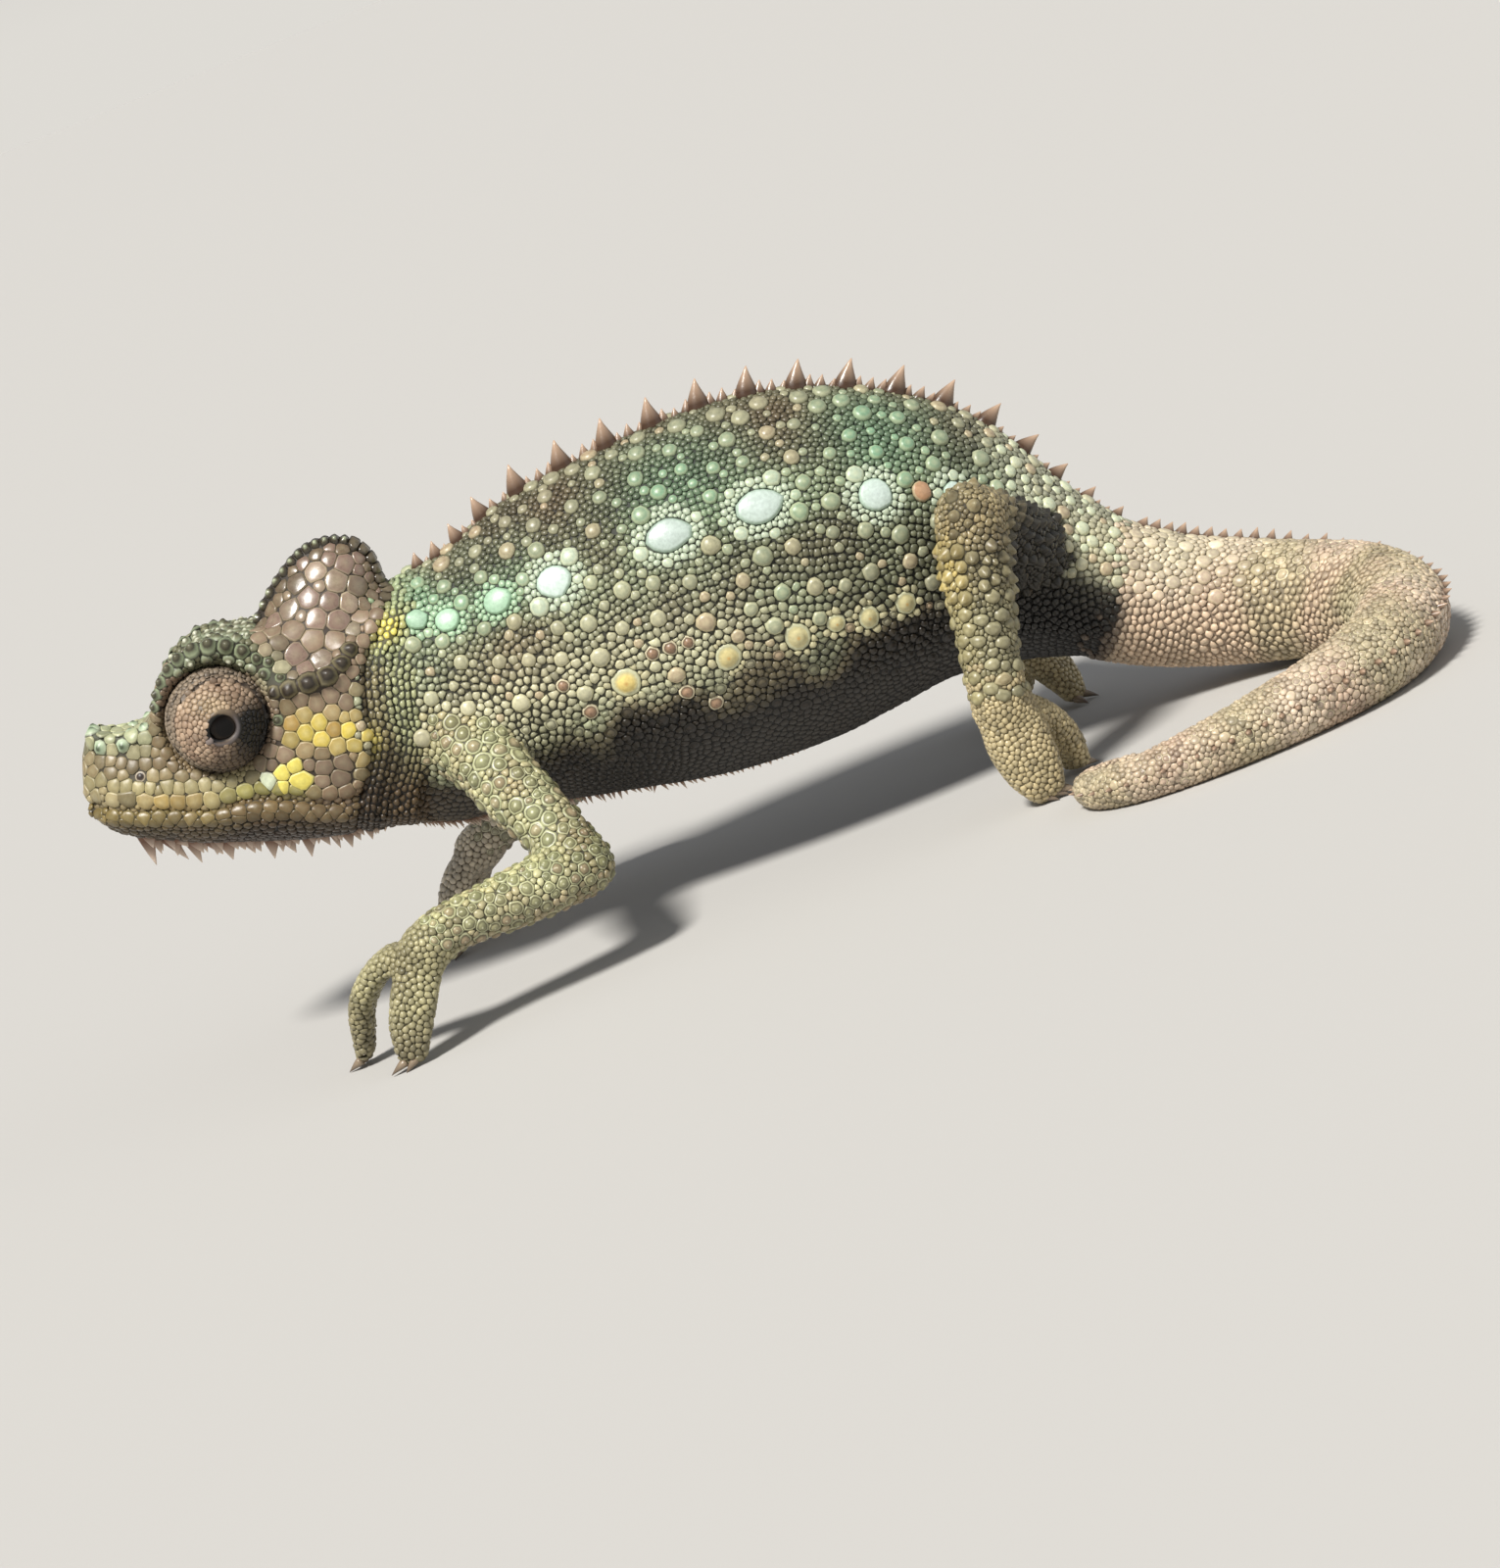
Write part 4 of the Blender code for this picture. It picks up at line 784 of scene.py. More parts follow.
class Body:
    """Points with everything the patterns ask about them."""

    def __init__(self, points, labels, normal):
        self.points, self.labels, self.normal = points, labels, normal
        self.forward, self.side, self.up = head_place(points)
        self.station, self.share, self.round_it = trunk_place(points)
        self.behind = keyed(CHEEK_EDGE, self.up) - self.forward
        self.neck = ((labels == 0) | (labels == 2) & (self.station < 0.62)) & (self.behind > 0)
        self.head, self.casque = np.isin(labels, (0, 1)) & ~self.neck, labels == 1
        self.trunk, self.tail = (labels == 2) & ~self.neck, labels == 3
        self.upper, self.lower, self.foot = (np.isin(labels, range(4 + k, 16, 3)) for k in range(3))
        self.limb, self.hind = self.upper | self.lower, labels >= 10
        self.mouth = self.up - keyed(MOUTH, self.forward)
        self.at, self.angle = np.zeros(len(points)), np.zeros(len(points))
        self.at[self.tail], self.angle[self.tail] = tail_place(points[self.tail])
        self.tail_index = np.clip((self.at / TAIL_STEP).astype(int), 0, len(TAIL_WAYS) - 1)
        self.along, self.to_bend = np.zeros(len(points)), np.full(len(points), 9.0)
        self.limb_way = np.zeros((len(points), 3))
        for n, sizes in enumerate(LEGS.values()):
            root, bend, end = (np.array(p) for p in sizes["joints"])
            length = np.linalg.norm(bend - root)
            parts = ((root, bend, 0), (bend, end, length), (end, np.array(sizes["palm"]), 24))
            for k, (a, b, start) in enumerate(parts):
                here = labels == 4 + 3 * n + k
                self.along[here] = start + (points[here] - a) @ unit(b - a)
                self.to_bend[here] = np.abs(self.along[here] - length)
                self.limb_way[here] = unit(b - a)
        self.down = unit(np.cross(self.body_way(), normal))
        self.eye = np.minimum(turret_reach(points, -1), turret_reach(points, 1))
        self.crown = self.head & ~self.casque & (self.up > 2.6) & (self.forward > -2.5)
        self.plated = self.head & (self.mouth > 0.7) & ~self.crown
        edge = [np.hypot(self.forward - f, self.up - u) for f,
                u in on_curve(CASQUE_RIM, np.linspace(0, len(CASQUE_RIM) - 1, 40))]
        self.rim_reach = np.min(edge, axis=0)
        self.armpit = np.min([np.linalg.norm(points - np.array(p), axis=1) for p in ARMPITS], axis=0)

    def body_way(self):
        """The way backwards along the trunk at each point."""
        lean = np.radians(trunk_row(self.station)[4])
        return np.stack([np.cos(lean), np.zeros(len(lean)), -np.sin(lean)], -1)

    def rows(self):
        """Distance over the rows of scales, their pitch, the way across them, and their creases' width."""
        count = len(self.points)
        over, pitch, crease, way = np.zeros(count), np.full(count, 0.4), np.zeros(count), np.zeros((count, 3))

        def lay(where, value, step, gap, across):
            over[where], pitch[where] = value[where], np.broadcast_to(step, (count,))[where]
            crease[where], way[where] = np.broadcast_to(gap, (count,))[where], np.broadcast_to(across,
                    way.shape)[where]

        sway = 0.3 * mottle(self.points, 7.0, 3)
        strong = 0.03 + 0.06 * ease(0.25, 0.5, self.share) * ease(0.7, 0.62, self.share)
        lay(self.trunk, self.share * self.round_it + sway, 0.42, strong, self.down)
        for side in (-1, 1):
            off = self.points - np.array((-12.6, 6.5 * side, 15.0))
            reach = np.linalg.norm(off, axis=1)
            near_arm = self.trunk & (off[:, 1] * side > -5)
            part = (ease(7.5, 4.0, reach) * near_arm)[:, None]
            over += part[:, 0] * (reach - over)
            way = unit(way * (1 - part) + off / np.maximum(reach, 0.1)[:, None] * part + 1e-9)
        lay(self.neck, self.behind + sway * 0.25, 0.38, 0.1, unit(head_way(-1, 0, 0)))
        beneath = ease(1.2, 1.9, np.abs(self.angle))
        lay(self.tail, self.at, 0.4 - 0.1 * self.at / 62, 0.01 + 0.09 * beneath, TAIL_WAYS[self.tail_index])
        lay(self.limb, self.along, 0.42, 0.02, self.limb_way)
        jaw = self.head & (self.mouth < 0)
        lay(jaw, self.mouth + sway * 0.3, 0.46, 0.05, unit(head_way(0, 0, 1)))
        return over, pitch, way, crease

# %% Scatter the tubercles
def tubercles(body, small):
    """Radius, spacing, kind, stretch and long way of larger scales. Radius 0 means none."""
    count = len(body.points)
    pick = draw.rand(count)
    radius, spacing, stretch = np.zeros(count), np.zeros(count), np.ones(count)
    kind = np.full(count, float(KIND_NAMES.index("bead")))

    def lay(where, large, little, name="bead", gap=0.0, little_gap=0.0, long=1.0):
        low, high = little if small else large
        radius[where] = (low + (high - low) * pick)[where]
        spacing[where] = np.broadcast_to(little_gap if small else gap, (count,))[where]
        kind[where], stretch[where] = KIND_NAMES.index(name), long

    none = (0.0, 0.0)
    upper_back = near(body.share, 0.08, 0.1)
    lay(body.trunk & (body.share < 0.68), (0.42, 0.64), (0.25, 0.36), gap=1.75 - 0.4 * upper_back,
        little_gap=1.3)
    lay(body.trunk & (body.share > 0.6) & (body.share < 0.76), (0.3, 0.42), (0.2, 0.27), "ringed", gap=1.5,
        little_gap=0.8)
    lay(body.trunk & (body.station > 7.0) & (body.share < 0.44), (0.36, 0.52), (0.25, 0.32), gap=1.0,
        little_gap=0.7)
    lay(body.trunk & (body.station > 7.1) & (body.share > 0.44), none, none)
    lay(body.neck & (body.up > 0), none, (0.2, 0.28), gap=9.0, little_gap=1.8)
    lay(body.tail & (np.abs(body.angle) < 1.45), (0.34, 0.5), (0.22, 0.32), gap=0.9, long=1.15)
    lay(body.tail & (np.abs(body.angle) < 1.6) & (body.at > 12) & (pick > 0.55), (0.3, 0.44), (0.2, 0.3),
        "ringed", gap=0.9)
    radius[body.tail] *= (1 - 0.6 * body.at / TAIL_TAPER)[body.tail]
    fore, aft = body.limb & ~body.hind, body.limb & body.hind
    lay(fore & body.upper, (0.44, 0.6), (0.26, 0.36), "ringed")
    lay(fore & body.lower, (0.34, 0.48), (0.24, 0.32), "ringed")
    lay(fore & (body.to_bend < 2.2), (0.34, 0.44), (0.22, 0.28), "ringed")
    lay(aft & body.upper, (0.34, 0.46), (0.24, 0.3), "cone")
    lay(aft & body.lower, (0.4, 0.52), (0.24, 0.32), "cone")
    lay(aft & body.lower & (body.to_bend > 4.8), (0.34, 0.4), (0.22, 0.28), long=1.6)
    lay(aft & (body.to_bend < 1.5), none, (0.2, 0.24), gap=9.0)
    lay(body.head & (body.mouth < -1.4) & (body.mouth > -2.4), none, (0.24, 0.29), gap=9.0)
    lay(body.crown, (0.32, 0.42), (0.24, 0.3), "cone")
    lay(body.plated, (0.27, 0.36), (0.2, 0.24), "plate")
    lay(body.plated & (body.forward < -2.4) & ~body.casque, (0.33, 0.44), (0.22, 0.27), "plate")
    lay(body.casque, (0.38, 0.6), (0.24, 0.3), "plate")
    lay(body.casque & (body.rim_reach < 1.1), (0.27, 0.36), (0.2, 0.25), "plate")
    long = np.where(body.tail[:, None], TAIL_WAYS[body.tail_index],
                    unit(np.cross(body.limb_way, body.normal) + 1e-9))
    return radius, spacing, kind, stretch, long


STEPS = (-1, 0, 1)


def thin_out(places, reach, apart, others, other_reach):
    """The places, in turn, that are clear of the others and of the ones kept before."""
    own = np.maximum(reach, apart / 2)
    cell = 2 * max(own.max(), 0.2)
    grid, kept = {}, []
    tree = tree_of(others)
    for n, (place, touch, far) in enumerate(zip(places.tolist(), reach.tolist(), own.tolist())):
        if any(d < other_reach[k] + touch for _, k, d in tree.find_n(place, 5)):
            continue
        cx, cy, cz = (int(v // cell) for v in place)
        around = [grid.get((cx + a, cy + b, cz + c), ()) for a in STEPS for b in STEPS for c in STEPS]
        spots = (spot for held in around for spot in held)
        if not any(sum((p - q) ** 2 for p, q in zip(place, spot)) < (spot[3] + far) ** 2 for spot in spots):
            grid.setdefault((cx, cy, cz), []).append((*place, far))
            kept.append(n)
    return np.array(kept, int)


def tree_of(points):
    tree = KDTree(len(points))
    for n, place in enumerate(points):
        tree.insert(place, n)
    tree.balance()
    return tree


LARGE_TRIES = 30000
LIFTS = dict(granule=0.7, bead=0.62, plate=0.2, ringed=0.55, cone=0.85)
on_head_faces = np.isin(skin_labels[triangles[:, 0]], (0, 1))
for small in (False, True):
    places, labels, way = random_places(LARGE_TRIES, np.where(on_head_faces, 5.0, 1.0))
    body = Body(places, labels, way)
    radius, spacing, kind, stretch, long = tubercles(body, small)
    fits = np.flatnonzero((radius > 0) & (body.eye > 1.14) & (places[:, 2] > 0.5)
                          & (np.abs(body.mouth) > 0.6 * body.head))
    fits = fits[np.argsort(-(radius * body.head)[fits], kind="stable")]
    paved = (body.plated | body.casque)[fits]
    columns = (places, radius, spacing, kind, stretch, long)
    places, radius, spacing, kind, stretch, long = (column[fits] for column in columns)
    room = np.where(small & paved, 1.2, np.where(body.limb[fits], 0.84, 0.94)) * (0.5 + 0.5 * stretch)
    kept = thin_out(places, radius * room, spacing, seeds.place, seeds.radius * (0.5 + 0.5 * seeds.stretch))
    lift = np.array([LIFTS[name] for name in KIND_NAMES])[kind.astype(int)]
    high = np.where(kind == KIND_NAMES.index("plate"), 0.11, radius * lift)
    seeds.add(places[kept], radius[kept], kind[kept], high[kept], 0, 0, long[kept], stretch[kept])
    print(len(kept), "small" if small else "large", "tubercles and plates")

# %% [markdown]
# ### Granules
# Granules lie in rows: along the body on the flanks, round it on the neck, the legs and the tail. Each random
# place is moved to the middle of its row, and every second row ends in a deeper crease.


# %% Fill with granules
def granules(body):
    """Radius, stretch and long way of the granules, and their rows."""
    count = len(body.points)
    radius, stretch, long = np.full(count, 0.215), np.ones(count), np.tile((1.0, 0, 0), (count, 1))
    over, pitch, across, _ = body.rows()
    beneath = ease(1.2, 1.9, np.abs(body.angle)) * body.tail
    upper_back = body.trunk & (body.share < 0.46)
    radius[upper_back] = 0.185
    radius[body.trunk & (body.armpit < 2.6)] = 0.15
    radius[body.tail] = (0.19 - 0.05 * body.at / 62)[body.tail]
    radius[body.limb] = np.where(body.hind, 0.15, 0.2)[body.limb]
    radius[body.foot] = np.where(body.hind, 0.15, 0.18)[body.foot]
    radius[body.head] = 0.2
    radius[body.neck] = (0.16 + 0.04 * ease(3.5, 5.5, body.up))[body.neck]
    radius[body.head & (body.eye < 1.2)] = 0.14
    stretch = np.where(body.neck, 1.9 - 0.7 * ease(3.5, 5.5, body.up), 1 + 0.5 * beneath)
    turned = body.neck | (beneath > 0.1)
    side_way = np.cross(across, body.normal)
    long[turned] = unit(side_way[turned] + 1e-9)
    return radius, stretch, long, over, pitch, across


def to_row(points, over, pitch, across, share):
    """The points moved towards the middle of their rows."""
    middle = (np.floor(over / pitch) + 0.5) * pitch
    return points + across * ((middle - over) * share)[:, None]


CANDIDATES = 150000
face_parts = skin_labels[triangles[:, 0]]
neck_faces = Body(skin_points[triangles[:, 0]], face_parts, normals[triangles[:, 0]]).neck
density = np.where(np.isin(face_parts, range(6, 16, 3)), 1.8, 1.0) * np.where(neck_faces, 2.0, 1.0)
for factor, follow in ((1.15, 0.9), (0.96, 0.7), (0.76, 0.0)):
    places, labels, way = random_places(CANDIDATES, density)
    body = Body(places, labels, way)
    radius, stretch, long, over, pitch, across = granules(body)
    radius = radius * factor
    places = to_row(places, over, pitch, across,
                    np.where(body.foot | (body.head & (body.mouth > 0)), 0.0, follow))
    fits = (body.eye > 1.03) & (places[:, 2] > 0.1) & (~(body.plated | body.casque) | (body.eye < 1.2))
    places, radius, stretch, long = places[fits], radius[fits], stretch[fits], long[fits]
    kept = thin_out(places, radius * (0.42 + 0.45 * stretch), radius * 0, seeds.place, seeds.radius * 0.92)
    seeds.add(places[kept], radius[kept], "granule", 0.0, 0, 0, long[kept], stretch[kept])
    print(len(seeds.place), "scales with those of radius", round(0.19 * factor, 3))

# %% [markdown]
# ### Settling
# Each scale pushes off the neighbours that it overlaps, the small giving way to the large, and returns to the
# skin.


# %% Settle
LARGE = 0.38


def neighbours(points, radius, count=11, large_count=3):
    """The nearest others of each point, then the nearest large ones."""
    tree, large = tree_of(points), np.flatnonzero(radius > LARGE)
    found = np.zeros((len(points), count + large_count), int)
    for n, place in enumerate(points):
        found[n, :count] = [k for _, k, _ in tree.find_n(place, count + 1)][1:]
    found[:, count:] = found[:, :1]
    if len(large) > large_count:
        tree = tree_of(points[large])
        for n, place in enumerate(points):
            found[n, count:] = large[[k for _, k, _ in tree.find_n(place, large_count)]]
        own = found == np.arange(len(points))[:, None]
        found = np.where(own, found[:, :1], found)
    return found


def girth(stretch, cosine):
    """How far an oval reaches, at an angle of that cosine to its long way."""
    return 1 / np.sqrt(cosine**2 / stretch**2 + 1 - np.minimum(cosine**2, 1) + 1e-9)


def reaches(scales, chosen, beside):
    """Ways and distances to the neighbours, and how far both reach towards each other."""
    off = scales.place[beside] - scales.place[chosen][:, None]
    distance = np.maximum(np.linalg.norm(off, axis=2), 1e-6)
    ways = off / distance[..., None]
    own = scales.radius[chosen][:, None] * girth(scales.stretch[chosen][:, None],
            (ways * scales.long[chosen][:, None]).sum(2))
    other = scales.radius[beside] * girth(scales.stretch[beside], (ways * scales.long[beside]).sum(2))
    return ways, distance, own, other


def settle(scales, rounds, inner=4):
    """Spreads the scales evenly. Plates push further, into the gaps between them."""
    everyone, free = np.arange(len(scales.place)), scales.fixed[:, None] == 0
    flat = scales.kind == KIND_NAMES.index("plate")
    for _ in range(rounds):
        beside = neighbours(scales.place, scales.radius)
        give = scales.radius[beside] ** 2 / (scales.radius[:, None] ** 2 + scales.radius[beside] ** 2)
        wide = np.where(flat[:, None] & flat[beside], 1.22, 1.0)
        for _ in range(inner):
            ways, distance, own, other = reaches(scales, everyone, beside)
            push = np.clip((own + other) * wide - distance, 0, None) * give * 0.5
            shift = -(ways * push[..., None]).sum(1)
            size = np.maximum(np.linalg.norm(shift, axis=1), 1e-9)
            shift *= np.minimum(1, 0.3 * scales.radius / size)[:, None]
            scales.place = scales.place + np.where(free, shift, 0)
        scales.place, scales.way, scales.label = on_skin(scales.place)


settle(seeds, 4)
body = Body(seeds.place, seeds.label, seeds.way)
over, pitch, across, _ = body.rows()
keep_to = np.where(body.neck | body.tail & (np.abs(body.angle) > 1.5), 0.75,
                   np.where(body.trunk | body.head & (body.mouth < 0), 0.4, 0))
keep_to *= (seeds.kind == 0) & ((body.share > 0.3) | ~body.trunk)
seeds.place, seeds.way, seeds.label = on_skin(to_row(seeds.place, over, pitch, across, keep_to))
body = Body(seeds.place, seeds.label, seeds.way)
over, pitch, _, seeds.crease = body.rows()
seeds.row = np.floor(over / pitch / np.where(body.trunk, 2, 1))
seeds.beside = neighbours(seeds.place, seeds.radius)
print("settled", len(seeds.place))

# %% [markdown]
# ## Colours
# Olive and grey-brown, with mint clouds round the white ovals, a dark belly deepened with painted shade and a
# beige tail; yellow, ochre and mauve on the head. Painted shade and painted highlights are added in places. A
# colour is written from 0 to 255 as on a screen and brought to linear light.


# %% Colours of the pattern
def paint(red, green, blue):
    """A screen colour in linear light."""
    value = np.array((red, green, blue)) / 255
    return np.where(value <= 0.04045, value / 12.92, ((value + 0.055) / 1.055) ** 2.4)


def mix(under, colour, amount):
    """The colours with another over them by an amount from 0 to 1."""
    return under + (colour - under) * np.clip(np.asarray(amount, float), 0, 1)[..., None]


def layered(under, *layers):
    """Colours with others over them in turn. Each is an array or a screen colour."""
    under = paint(*under) if isinstance(under, tuple) else under
    for colour, amount in layers:
        under = mix(under, paint(*colour) if isinstance(colour, tuple) else colour, amount)
    return under


MINT_CLOUDS = [(0.9, 0.2, 0.6, 0.1, 1.0), (1.7, 0.27, 0.5, 0.07, 0.8), (2.6, 0.31, 0.6, 0.07, 0.7),
               (4.4, 0.25, 0.6, 0.11, 0.9), (5.1, 0.36, 0.45, 0.07, 0.6), (6.1, 0.24, 0.45, 0.17, 1.0),
               (7.0, 0.3, 0.5, 0.1, 0.4), (5.0, 0.52, 0.4, 0.06, 0.4)]
BROWN_CLOUDS = [(3.4, 0.17, 0.45, 0.1, 0.8), (5.35, 0.15, 0.35, 0.12, 1.0), (2.3, 0.46, 0.8, 0.07, 0.6),
                (5.3, 0.44, 0.4, 0.05, 0.7)]


def clouds(body, places):
    total = np.zeros(len(body.points))
    for u, t, wide, tall, strength in places:
        total += strength * near(body.station, u, wide) * near(body.share, t, tall)
    return np.clip(total, 0, 1)


def trunk_pattern(body, soft):
    """Olive and brown, mint clouds, a pale flank, a dark belly deepened with painted shade, painted shadows
    at the groin and under the hind leg, painted light at the armpits.
    """
    station, share = body.station, body.share
    right = ease(3.0, 5.4, station) * ease(0.3, 0.42, share)
    trunk = layered((154, 161, 133),
        ((130, 124, 100), 0.4 + 0.5 * soft),
        ((146, 122, 96), 0.85 * clouds(body, BROWN_CLOUDS)),
        ((136, 170, 138), 0.95 * clouds(body, MINT_CLOUDS)),
        ((100, 100, 80), 0.8 * right * (1 - clouds(body, MINT_CLOUDS))),
    )
    trunk = mix(trunk, trunk * 0.6, ease(0.36, 0.24, share) * ease(0.8, 2.2, station))
    pale = near(share, 0.54, 0.08) * ease(6.0, 3.5, station)
    edge = share + 0.03 * soft + 0.03 * ease(4.5, 6.5, station) - 0.05 * ease(3.4, 2.0,
            station)
    # The belly's own dark brown, deepened further with painted shade.
    belly = mix(paint(33, 25, 18), paint(72, 60, 46), ease(3.0, 1.5, station))
    neck = ease(1.0, 0.5, station)
    # Painted shadow: near-black where the hind leg shades the groin.
    painted_groin_shadow = ease(6.9, 7.3, station) * ease(0.43, 0.5, share)
    return layered(trunk,
        ((120, 116, 92), 0.6 * near(share, 0.0, 0.08)),
        ((200, 196, 168), 0.7 * pale),
        ((112, 102, 80), 0.9 * ease(0.6, 0.65, edge) * ease(2.6, 3.6, station + 6 * (share - 0.6))),
        (belly, 0.95 * ease(0.63, 0.7, edge)),
        ((150, 172, 138), neck * ease(0.26, 0.16, share)),
        ((90, 74, 52), 0.8 * neck * ease(0.5, 0.62, share)),
        ((172, 174, 154), 0.8 * ease(6.6, 7.6, station) * ease(0.6, 0.45, share)),
        # Painted light: lighter near the armpits, for the highlights on their folds.
        ((152, 148, 130), 0.8 * ease(3.0, 1.2, body.armpit)),
        ((36, 34, 34), 0.97 * painted_groin_shadow),
        # Painted shadow of the hind leg on the lower flank.
        ((50, 46, 42), 0.9 * near(station, 6.9, 0.45) * near(share, 0.62, 0.14)),
        ((206, 200, 170), 0.8 * near(station, 8.6, 0.5) * near(share, 0.3, 0.14)),
    )


def neck_pattern(body, soft):
    """Dark olive-brown folds, mint and yellow at the nape, near-black under the cheek."""
    return layered((138, 130, 98),
        ((108, 94, 68), 0.4 + 0.4 * soft),
        ((156, 170, 134), ease(2.0, 4.6, body.up)),
        ((160, 166, 128), 0.8 * ease(1.0, 2.2, body.behind) * ease(-4, -1, body.up)),
        ((74, 62, 42), 0.85 * ease(0.9, 0.2, body.behind)),
        ((88, 68, 46), 0.9 * ease(-3.2, -5.2, body.up)),
        ((208, 194, 106), 0.9 * near(body.behind, 0.3, 0.55) * near(body.up, -2.2, 1.1)),
        ((62, 48, 32), 0.8 * ease(-1.2, -3.4, body.up) * ease(3.0, 1.0, body.behind)),
        ((224, 212, 112), 1.3 * near(body.behind, 0.95, 0.7) * near(body.up, 4.9, 0.85)),
    )


def tail_pattern(body, soft):
    """Beige and pinkish, banded with olive."""
    bands = 0.5 + 0.5 * np.sin(body.at / 9.5 * 2 * np.pi + 0.8 * soft)
    return layered((196, 178, 158),
        ((172, 148, 130), 0.45 + 0.5 * soft),
        # Painted light: the tail's underside is painted lighter, for light thrown up from the floor.
        ((202, 178, 154), ease(1.0, 2.0, np.abs(body.angle))),
        ((200, 194, 168), 0.6 * near(body.at, 3, 5) * ease(1.6, 0.6, np.abs(body.angle))),
        # Painted shadow: darker on the underside at the tail's root, where the hind leg shades it.
        ((70, 60, 54), 0.9 * ease(1.3, 0.4, body.at) * ease(1.3, 1.9, np.abs(body.angle))),
        ((156, 148, 114), 0.6 * bands * ease(4, 10, body.at)),
        ((142, 148, 116), 0.5 * near(np.abs(body.angle), 2.6, 0.6) * ease(16, 26, body.at)),
    )


def limb_patterns(body, soft):
    """The colours of the limbs, and of the feet."""
    count, far = len(body.points), body.points[:, 1] > 0
    arm = layered((180, 178, 138),
        ((158, 146, 112), 0.4 + 0.6 * soft),
        ((110, 98, 66), 0.9 * near(body.to_bend, 0, 1.8) * ease(-0.2, 0.6, body.normal[:, 0])),
        # Painted shade beneath the arms, and painted light on top of the forearms, set by the way the surface
        # faces.
        ((150, 134, 108), 0.7 * ease(0.1, -0.6, body.normal[:, 2])),
        ((184, 182, 132), 0.6 * ease(0.3, 0.9, body.normal[:, 2]) * body.lower),
        ((128, 120, 88), 0.5 * near(body.to_bend, 0, 2.0)),
        # The far forelimb's own pale colour, painted lighter still as painted light against the body's shadow
        # on it.
        ((214, 202, 184), 0.85 * (far & body.lower)),
    )
    # Painted shade: inner marks the thigh towards the hip and on its underside, which is painted near-black
    # below.
    inner = ease(2.6, 5.6, body.to_bend + 3 * ease(0.4, -0.8, body.normal[:, 2]))
    shin = layered((120, 112, 84),
        ((98, 88, 68), 0.4 + 0.6 * soft),
        ((176, 156, 90), 0.8 * ease(0.1, 0.8, -body.normal[:, 0]) * body.lower),
        ((146, 130, 94), 0.9 * near(body.to_bend, 0, 1.6)),
        ((140, 136, 106), 0.7 * ease(15.5, 18, body.along)),
        ((40, 38, 36), 0.95 * inner * body.upper),
    )
    paw = layered((156, 150, 114),
        ((130, 122, 92), 0.4 + 0.5 * soft),
        # Painted shade: the forefoot is darker towards the floor.
        ((124, 116, 90), 0.7 * ease(4.0, 1.5, body.points[:, 2]) * ~body.hind),
        ((174, 158, 122), 0.85 * body.hind),
        # The far forefoot's own pale colour, painted lighter still as painted light against the body's shadow
        # on it.
        ((214, 202, 184), 0.9 * (~body.hind & far)),
    )
    return np.where(body.hind[:, None], shin, arm), paw


def head_pattern(body, soft):
    """Mauve plates, mint crown and snout, yellow cheek, ochre lips, brown jaw."""
    f, u, m = body.forward, body.up, body.mouth
    band = near(u, -1.0 + 0.12 * (f + 6.5), 0.9) * ease(-3.6, -4.6, f)
    head = layered((138, 118, 100),
        ((130, 112, 84), ease(0.5, 2.5, f) * ease(1.0, -1.0, u)),
        ((112, 112, 88), body.crown),
        ((166, 172, 140), near(u, -1.2, 1.2) * ease(3.6, 5.0, f)),
        ((158, 150, 110), 0.8 * near(m, 1.6, 0.6) * ease(-3.0, -1.8, f)),
        ((158, 160, 132), 0.9 * near(f, -3.5, 1.1) * near(u, 2.6, 1.3)),
        ((148, 130, 114), 0.9 * body.casque),
        ((112, 96, 76), 0.85 * body.casque * ease(1.5, 0.7, body.rim_reach)),
        ((210, 190, 84), 1.1 * band),
        ((192, 174, 92), ease(-8.2, -8.9, f) * near(u, -1.4, 1.4)),
    )
    lips = layered((158, 146, 112),
        ((168, 144, 84), near(f, 3.0, 2.0)),
        ((148, 142, 82), ease(1.5, -1.5, f)),
        ((140, 118, 94), ease(-4.5, -6.5, f)),
    )
    head = layered(head, (lips, near(m, 0.5, 0.5)))
    jaw = layered((128, 112, 68),
        ((94, 78, 50), ease(0.5, 1.3, -m)),
        ((112, 92, 64), 0.8 * ease(1.5, -1.0, f) * ease(1.2, 0.6, -m)),
        ((78, 60, 40), 0.8 * ease(0.5, -3.0, f) * ease(0.8, 1.4, -m)),
        ((60, 42, 24), ease(1.4, 2.4, -m)),
    )
    head = np.where((m < 0)[:, None], jaw, head)
    return layered(head, ((120, 100, 82), 0.2 * np.clip(soft, 0, 1)))


def pattern(body):
    """The colour of the animal at each point."""
    soft, fine = mottle(body.points, 5.0, 11), mottle(body.points, 1.3, 12)
    limb, paw = limb_patterns(body, soft)
    colour = np.where(body.limb[:, None], limb, paw)
    for where, made in ((body.trunk, trunk_pattern), (body.tail, tail_pattern), (body.head, head_pattern),
                        (body.neck, neck_pattern)):
        colour = np.where(where[:, None], made(body, soft), colour)
    deepen = np.where(body.head | body.neck | body.trunk, 1.13, 1.03)
    return colour ** deepen[:, None] * (1 + 0.1 * fine)[:, None]


def painted_groove_shade(body):
    """How light the grooves are painted, as a share of the scales' colour: painted shade between the scales.
    """
    share = np.where(body.trunk | body.neck, 0.17, 0.24)
    share = np.where(body.trunk & (body.share < 0.5), 0.17 + 0.35 * ease(6.8, 7.8, body.station), share)
    share = np.where(body.tail, 0.62, share)
    return np.where(body.foot, np.where(body.hind, 0.6, 0.42), share)
